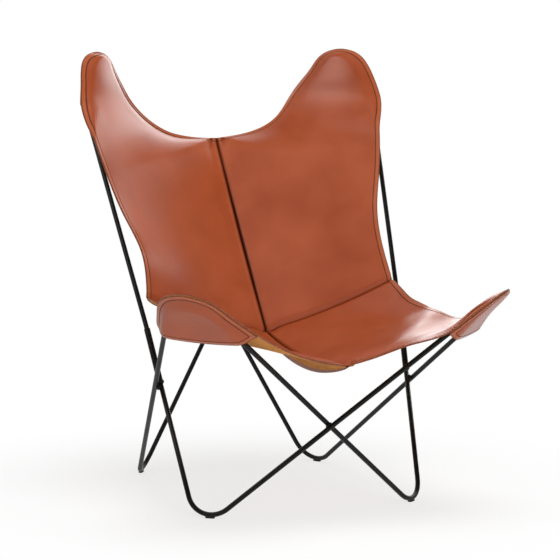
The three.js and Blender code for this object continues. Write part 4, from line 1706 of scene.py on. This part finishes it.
    def fold_crease(self, panel: Grid) -> Grid:
        """Turn a panel's last row under at the crease.

        Args:
            panel: The panel.

        Returns:
            The panel with its fold.
        """
        rows, fold = panel.rows, panel.fold
        ridge, before, last = rows[-1], rows[-3], rows.shape[1] - 1
        folded = []
        for t in np.linspace(0, 1, self.crease_rows):
            row = []
            for j, (p, q) in enumerate(zip(ridge, before)):
                back = unit(q - p)
                own = unit(back - self.hang * (back @ self.hang))
                away, down = self.roll_under(t, self.seam_hang(self.crease_depth, 1 - j / last))
                row.append(p + mix(own, back, (1 - t) ** 2) * away + self.hang * down)
            folded.append(row)
        keep = len(rows) - 1
        while keep > 1 and np.linalg.norm(rows[keep - 1].mean(0) - ridge.mean(0)) < self.seam_roll + self.crease_room:
            keep -= 1
        under = np.maximum(np.linspace(0, self.crease_shade, len(folded))[:, None], fold[-1:])
        return Grid(
            np.concatenate([rows[:keep], np.array(folded)]),
            np.concatenate([panel.edge[:keep], np.repeat(panel.edge[-1:], len(folded), axis=0)]),
            np.concatenate([fold[:keep], under]),
            np.concatenate([panel.crease[:keep], np.zeros(under.shape)]),
            panel.rim,
        )

    def pocket(self, plan: PanelPlan) -> Grid:
        """Shape one pocket: the panel's tip again, on the other side of the rods.

        Args:
            plan: The panel's plan.

        Returns:
            The pocket's middle surface.
        """
        stand = self.frame.rod_d / 2 + self.leather_t / 2 + self.pocket_gap
        inset, centre = self.pocket_inset, plan.nose.centre
        base, along = [], []
        places = [(angle, 0.0) for angle in self.nose_rows] + [(0.0, t) for t in np.linspace(0, 1, self.pocket_rows)]
        for angle, t in places:
            if angle:
                a, b = self.nose_row(plan, angle, inset)
            else:
                a, b = plan.inner.at(plan.mouth_inner * t), plan.outer.at(plan.mouth_outer * t)
                b = b + plan.nose.to_a * plan.mouth_drop * t**3
                straight = float(smooth(t * 3))
                outer_inset = mix(inset, plan.outer_inset, float(smooth(t * 2)))
                from_a = unit(mix(unit(centre - a), unit(b - a), straight))
                from_b = unit(mix(unit(centre - b), unit(a - b), straight))
                a, b = a + from_a * inset, b + from_b * outer_inset
            row, w = self.row_between(a, b)
            base.append(row - np.outer(plan.mouth_sag * t**2 * arch(w), plan.nose.up))
            along.append(np.full(len(row), t))
        rows, t = np.array(base), np.array(along)
        sides = nearest_on(np.concatenate([rows[::-1, 0], rows[:, -1]]), rows)[0] + inset
        mouth, _ = nearest_on(rows[-1], rows)
        slack = (plan.mouth_slack * t**2 + plan.mouth_curl * t**7) * smooth(sides / self.mouth_slack_w)
        outer = self.outer_side(plan, rows)
        sewn = self.edge_heights(plan, plan.mouth_outer * t, outer) - (self.leather_t + self.seam_gap) / 2
        lift = self.drape(plan, rows, sides, -stand, sewn, 1.0) + self.flared(plan, sides, outer) - slack
        rows = rows + plan.across * lift[..., None]
        rim = np.concatenate([rows[::-1, 0], rows[:, -1], rows[-1, ::-1]])
        flat = np.zeros(sides.shape)
        return Grid(rows, np.minimum(sides, mouth), flat, flat, rim)

    @staticmethod
    def normals(rows: Array) -> Array:
        """The grid's unit normals."""
        n = np.cross(np.gradient(rows, axis=1), np.gradient(rows, axis=0))
        return n / np.maximum(np.linalg.norm(n, axis=2), TINY)[..., None]

    def facing(self, rows: Array, face: Array) -> Array:
        """The grid's unit normals on the sitter's side."""
        normal = self.normals(rows)
        middle = normal[rows.shape[0] // 2, rows.shape[1] // 2]
        return normal if middle @ face > 0 else -normal

    def sheet(self, name: str, grid: Grid, face: Array, grain_up: bool, finishes: Finishes) -> bpy.types.Object:
        """Give a grid its thickness, its two faces and its rounded cut edge.

        Args:
            name: The piece's name.
            grid: The middle surface.
            face: The direction towards the sitter.
            grain_up: Whether the grain side faces the sitter.
            finishes: The chair's finishes.

        Returns:
            The leather piece.
        """
        rows = grid.rows
        m, n = rows.shape[:2]
        normal = self.facing(rows, face)
        full = np.full((m, n), self.leather_t / 2)
        thin = full.copy()
        for edge in (thin[0], thin[-1], thin[:, 0], thin[:, -1]):
            edge *= self.skived
        above, below = (thin, full) if grain_up else (full, thin)
        sides = (rows + normal * above[..., None], rows - normal * below[..., None])
        points = np.concatenate([side.reshape(-1, 3) for side in sides])
        kinds = (Layer.GRAIN, Layer.SUEDE) if grain_up else (Layer.SUEDE, Layer.GRAIN)
        faces: list[Face] = []
        layers: list[int] = []
        size = m * n
        for i in range(m - 1):
            for j in range(n - 1):
                a = i * n + j
                b, c, d = a + 1, a + n + 1, a + n
                faces += [(a, b, c, d), (size + a, size + d, size + c, size + b)]
                hem = i in (0, m - 2) or j < 2 or j > n - 4
                layers += [(Layer.CUT if hem and kind is Layer.SUEDE else kind).value for kind in kinds]
        rim = [(0, j) for j in range(n - 1)] + [(i, n - 1) for i in range(m - 1)]
        rim += [(m - 1, j) for j in range(n - 1, 0, -1)] + [(i, 0) for i in range(m - 1, 0, -1)]
        for (i, j), (p, q) in zip(rim, rim[1:] + rim[:1]):
            a, b = i * n + j, p * n + q
            faces.append((a, size + a, size + b, b))
            layers.append(Layer.CUT.value)
        if self.volume(points, faces) < 0:
            faces = [tuple(reversed(f)) for f in faces]
        obj = make_piece(name, points, faces, [finishes.grain, finishes.flesh, finishes.cut], layers)
        # The fold mark carries the painted shade of the seams, the crease and the step beside a hem.
        for mark, values in (("edge", grid.edge), ("fold", np.maximum(grid.fold, grid.crease))):
            layer = obj.data.attributes.new(mark, "FLOAT", "POINT")
            layer.data.foreach_set("value", np.concatenate([values.ravel()] * 2))
        return obj

    @staticmethod
    def volume(points: Array, faces: list[Face]) -> float:
        """Six times the signed volume inside four-sided faces."""
        a, b, c, d = (points[np.array(faces)[:, k]] for k in range(4))
        return float((a * np.cross(b, c)).sum() + (a * np.cross(c, d)).sum())

    def build(self, finishes: Finishes) -> None:
        """Make the eight leather pieces and their stitching.

        Args:
            finishes: The chair's finishes.
        """
        stitching = Stitching()
        for side in Side:
            for word, rod, plan in (
                ("back", "hoop_rod", self.back_plan(side)),
                ("seat", "rod_loop", self.seat_plan(side)),
            ):
                for kind, grid, grain_up in (
                    ("panel", self.panel(plan, side), True),
                    ("pocket", self.pocket(plan), False),
                ):
                    node = f"{word}_{kind}_{side.word}"
                    piece = self.sheet(f"leather_{node}", grid, plan.face, grain_up, finishes)
                    settle(piece, Slot.LEATHER, node)
                    out = self.facing(grid.rows, plan.face) * (1 if grain_up else -1)
                    surface = grid.rows + out * (self.leather_t / 2 + stitching.proud)
                    stitching.follow(surface, grid, SaddleLeather.stitch_line_mm)
        stitching.build(finishes)


@dataclass(frozen=True)
class SoftBox:
    """A rectangular lamp out of the camera's sight, in metres and watts."""

    name: str
    use: Use
    at: Point
    to: Point
    size: Range
    power: float

    def build(self) -> None:
        """Hang the lamp, seen only in reflections or lighting only what isn't a reflection."""
        light = bpy.data.lights.new(self.name, "AREA")
        light.shape = "RECTANGLE"
        light.size, light.size_y = self.size
        light.energy = self.power
        lamp = link(self.name, light)
        lamp.location = self.at
        lamp.rotation_euler = (Vector(self.to) - Vector(self.at)).to_track_quat("-Z", "Y").to_euler()
        lamp.visible_camera = False
        setattr(lamp, self.use.value, False)


LAMPS = (
    SoftBox("window_softbox", Use.REFLECTION, (2.07, 1.0, 1.64), (-0.25, 0.25, 0.75), (1.3, 1.1), 18.0),
    SoftBox("side_softbox", Use.REFLECTION, (-1.76, -0.32, 2.29), (0.28, 0.3, 0.8), (1.3, 1.4), 23.0),
    SoftBox("back_softbox", Use.REFLECTION, (1.2, 2.19, 1.33), (0.22, -0.25, 0.37), (1.4, 1.6), 20.0),
    SoftBox("front_fill", Use.FILL, (-0.1, -4.5, 1.8), (0.0, 0.0, 0.5), (2.8, 2.0), 82.0),
    SoftBox("top_fill", Use.FILL, (0.2, -0.6, 5.0), (0.0, 0.0, 0.5), (3.0, 3.0), 135.0),
)


@dataclass
class Studio:
    """A pale floor, soft light and the camera of the photograph.

    The fades of the floor and wall give a range of distance or direction, and the levels at its ends.
    """

    camera_at: Point = (-1492.9, -3972.2, 846.4)
    camera_to: Point = (22.7, 48.5, 439.7)
    photo_px: float = 560.0
    focal_px: float = 2052.66
    sensor: float = 36.0
    floor_r: float = 9.0
    floor_sides: int = 96
    floor_colour: str = "f4f4f4"
    floor_seen: tuple[Range, Range] = ((0.35, 1.0), (0.7, 1.0))
    floor_gloss: tuple[Range, Range] = ((0.5, 2.0), (0.8, 1.0))
    wall_azimuth: float = math.radians(180)
    wall_side: tuple[Range, Range] = ((0.3, 0.55), (0.06, 1.0))
    wall_top: tuple[Range, Range] = ((0.76, 0.92), (1.0, 0.12))
    room_level: float = 0.45

    def build(self) -> None:
        """Set up the floor, world, lights and camera."""
        self.build_floor()
        self.build_world()
        for lamp in LAMPS:
            lamp.build()
        self.build_camera()
        bpy.context.scene.view_settings.view_transform = "Standard"

    @staticmethod
    def rays(nodes: Nodes) -> tuple[Socket, Socket]:
        """Whether a ray comes from the camera or through glass, and whether it is a reflection."""
        path = nodes.add("ShaderNodeLightPath").outputs
        seen = nodes.maths("MAXIMUM", path["Is Camera Ray"], path["Is Transmission Ray"])
        return seen, path["Is Glossy Ray"]

    def build_floor(self) -> None:
        """Make the floor, which keeps the chair's shadow and fades to the white backdrop."""
        material, nodes = new_material("studio_paper_white")
        far = nodes.add("ShaderNodeVectorMath", {0: nodes.where()}, operation="LENGTH").outputs["Value"]
        seen, gloss = self.rays(nodes)
        share = nodes.maths("MULTIPLY", nodes.span(far, *self.floor_seen, soft=True), seen)
        share = nodes.maths("MAXIMUM", share, gloss)
        # In reflections the floor glows a little dimmer near the chair: painted shade of the floor under it.
        level = nodes.between(gloss, 1.0, nodes.span(far, *self.floor_gloss, soft=True))
        paper = nodes.out("ShaderNodeBsdfDiffuse", {"Color": linear(self.floor_colour)})
        white = nodes.out("ShaderNodeEmission", {"Color": grey(1.0), "Strength": level})
        both = nodes.out("ShaderNodeMixShader", {0: share, 1: paper, 2: white})
        nodes.add("ShaderNodeOutputMaterial", {"Surface": both})
        mesh = bpy.data.meshes.new("studio_floor")
        ring = [(self.floor_r * c, self.floor_r * s, 0.0) for c, s in circle(self.floor_sides)]
        mesh.from_pydata(ring, [], [tuple(range(self.floor_sides))])
        mesh.materials.append(material)
        link("studio_floor", mesh)

    def build_world(self) -> None:
        """Light the room evenly, with a white backdrop for the camera and a pale wall behind the chair for gloss."""
        world = bpy.data.worlds.new("studio_white")
        bpy.context.scene.world = world
        world.use_nodes = True
        nodes = Nodes(world.node_tree)
        way = nodes.add("ShaderNodeTexCoord").outputs["Generated"]
        wall = (math.sin(self.wall_azimuth), -math.cos(self.wall_azimuth), 0.0)
        behind = nodes.add("ShaderNodeVectorMath", {0: way, 1: wall}, operation="DOT_PRODUCT").outputs["Value"]
        height = nodes.add("ShaderNodeSeparateXYZ", {0: way}).outputs["Z"]
        side, top = nodes.span(behind, *self.wall_side, soft=True), nodes.span(height, *self.wall_top, soft=True)
        seen, gloss = self.rays(nodes)
        level = nodes.between(gloss, self.room_level, nodes.maths("MULTIPLY", side, top))
        level = nodes.between(seen, level, 1.0)
        light = nodes.out("ShaderNodeBackground", {"Color": grey(1.0), "Strength": level})
        nodes.add("ShaderNodeOutputWorld", {"Surface": light})

    def build_camera(self) -> None:
        """Make the camera of the photograph."""
        at, to = (Vector(p) for p in packed([self.camera_at, self.camera_to]))
        data = bpy.data.cameras.new("photo_camera")
        data.sensor_fit, data.sensor_width = "HORIZONTAL", self.sensor
        data.lens = self.focal_px / self.photo_px * self.sensor
        half_pixel = 0.5 / self.photo_px
        data.shift_x, data.shift_y = -half_pixel, half_pixel
        camera = link("photo_camera", data)
        camera.location = at
        camera.rotation_euler = (to - at).to_track_quat("-Z", "Y").to_euler()
        bpy.context.scene.camera = camera


def main() -> None:
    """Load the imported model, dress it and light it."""
    logging.basicConfig(level=logging.INFO, format="%(name)s: %(message)s")
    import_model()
    finishes = Finishes()
    frame = SteelFrame()
    frame.build(finishes)
    Sling(frame).build(finishes)
    Studio().build()


if __name__ == "__main__":
    main()
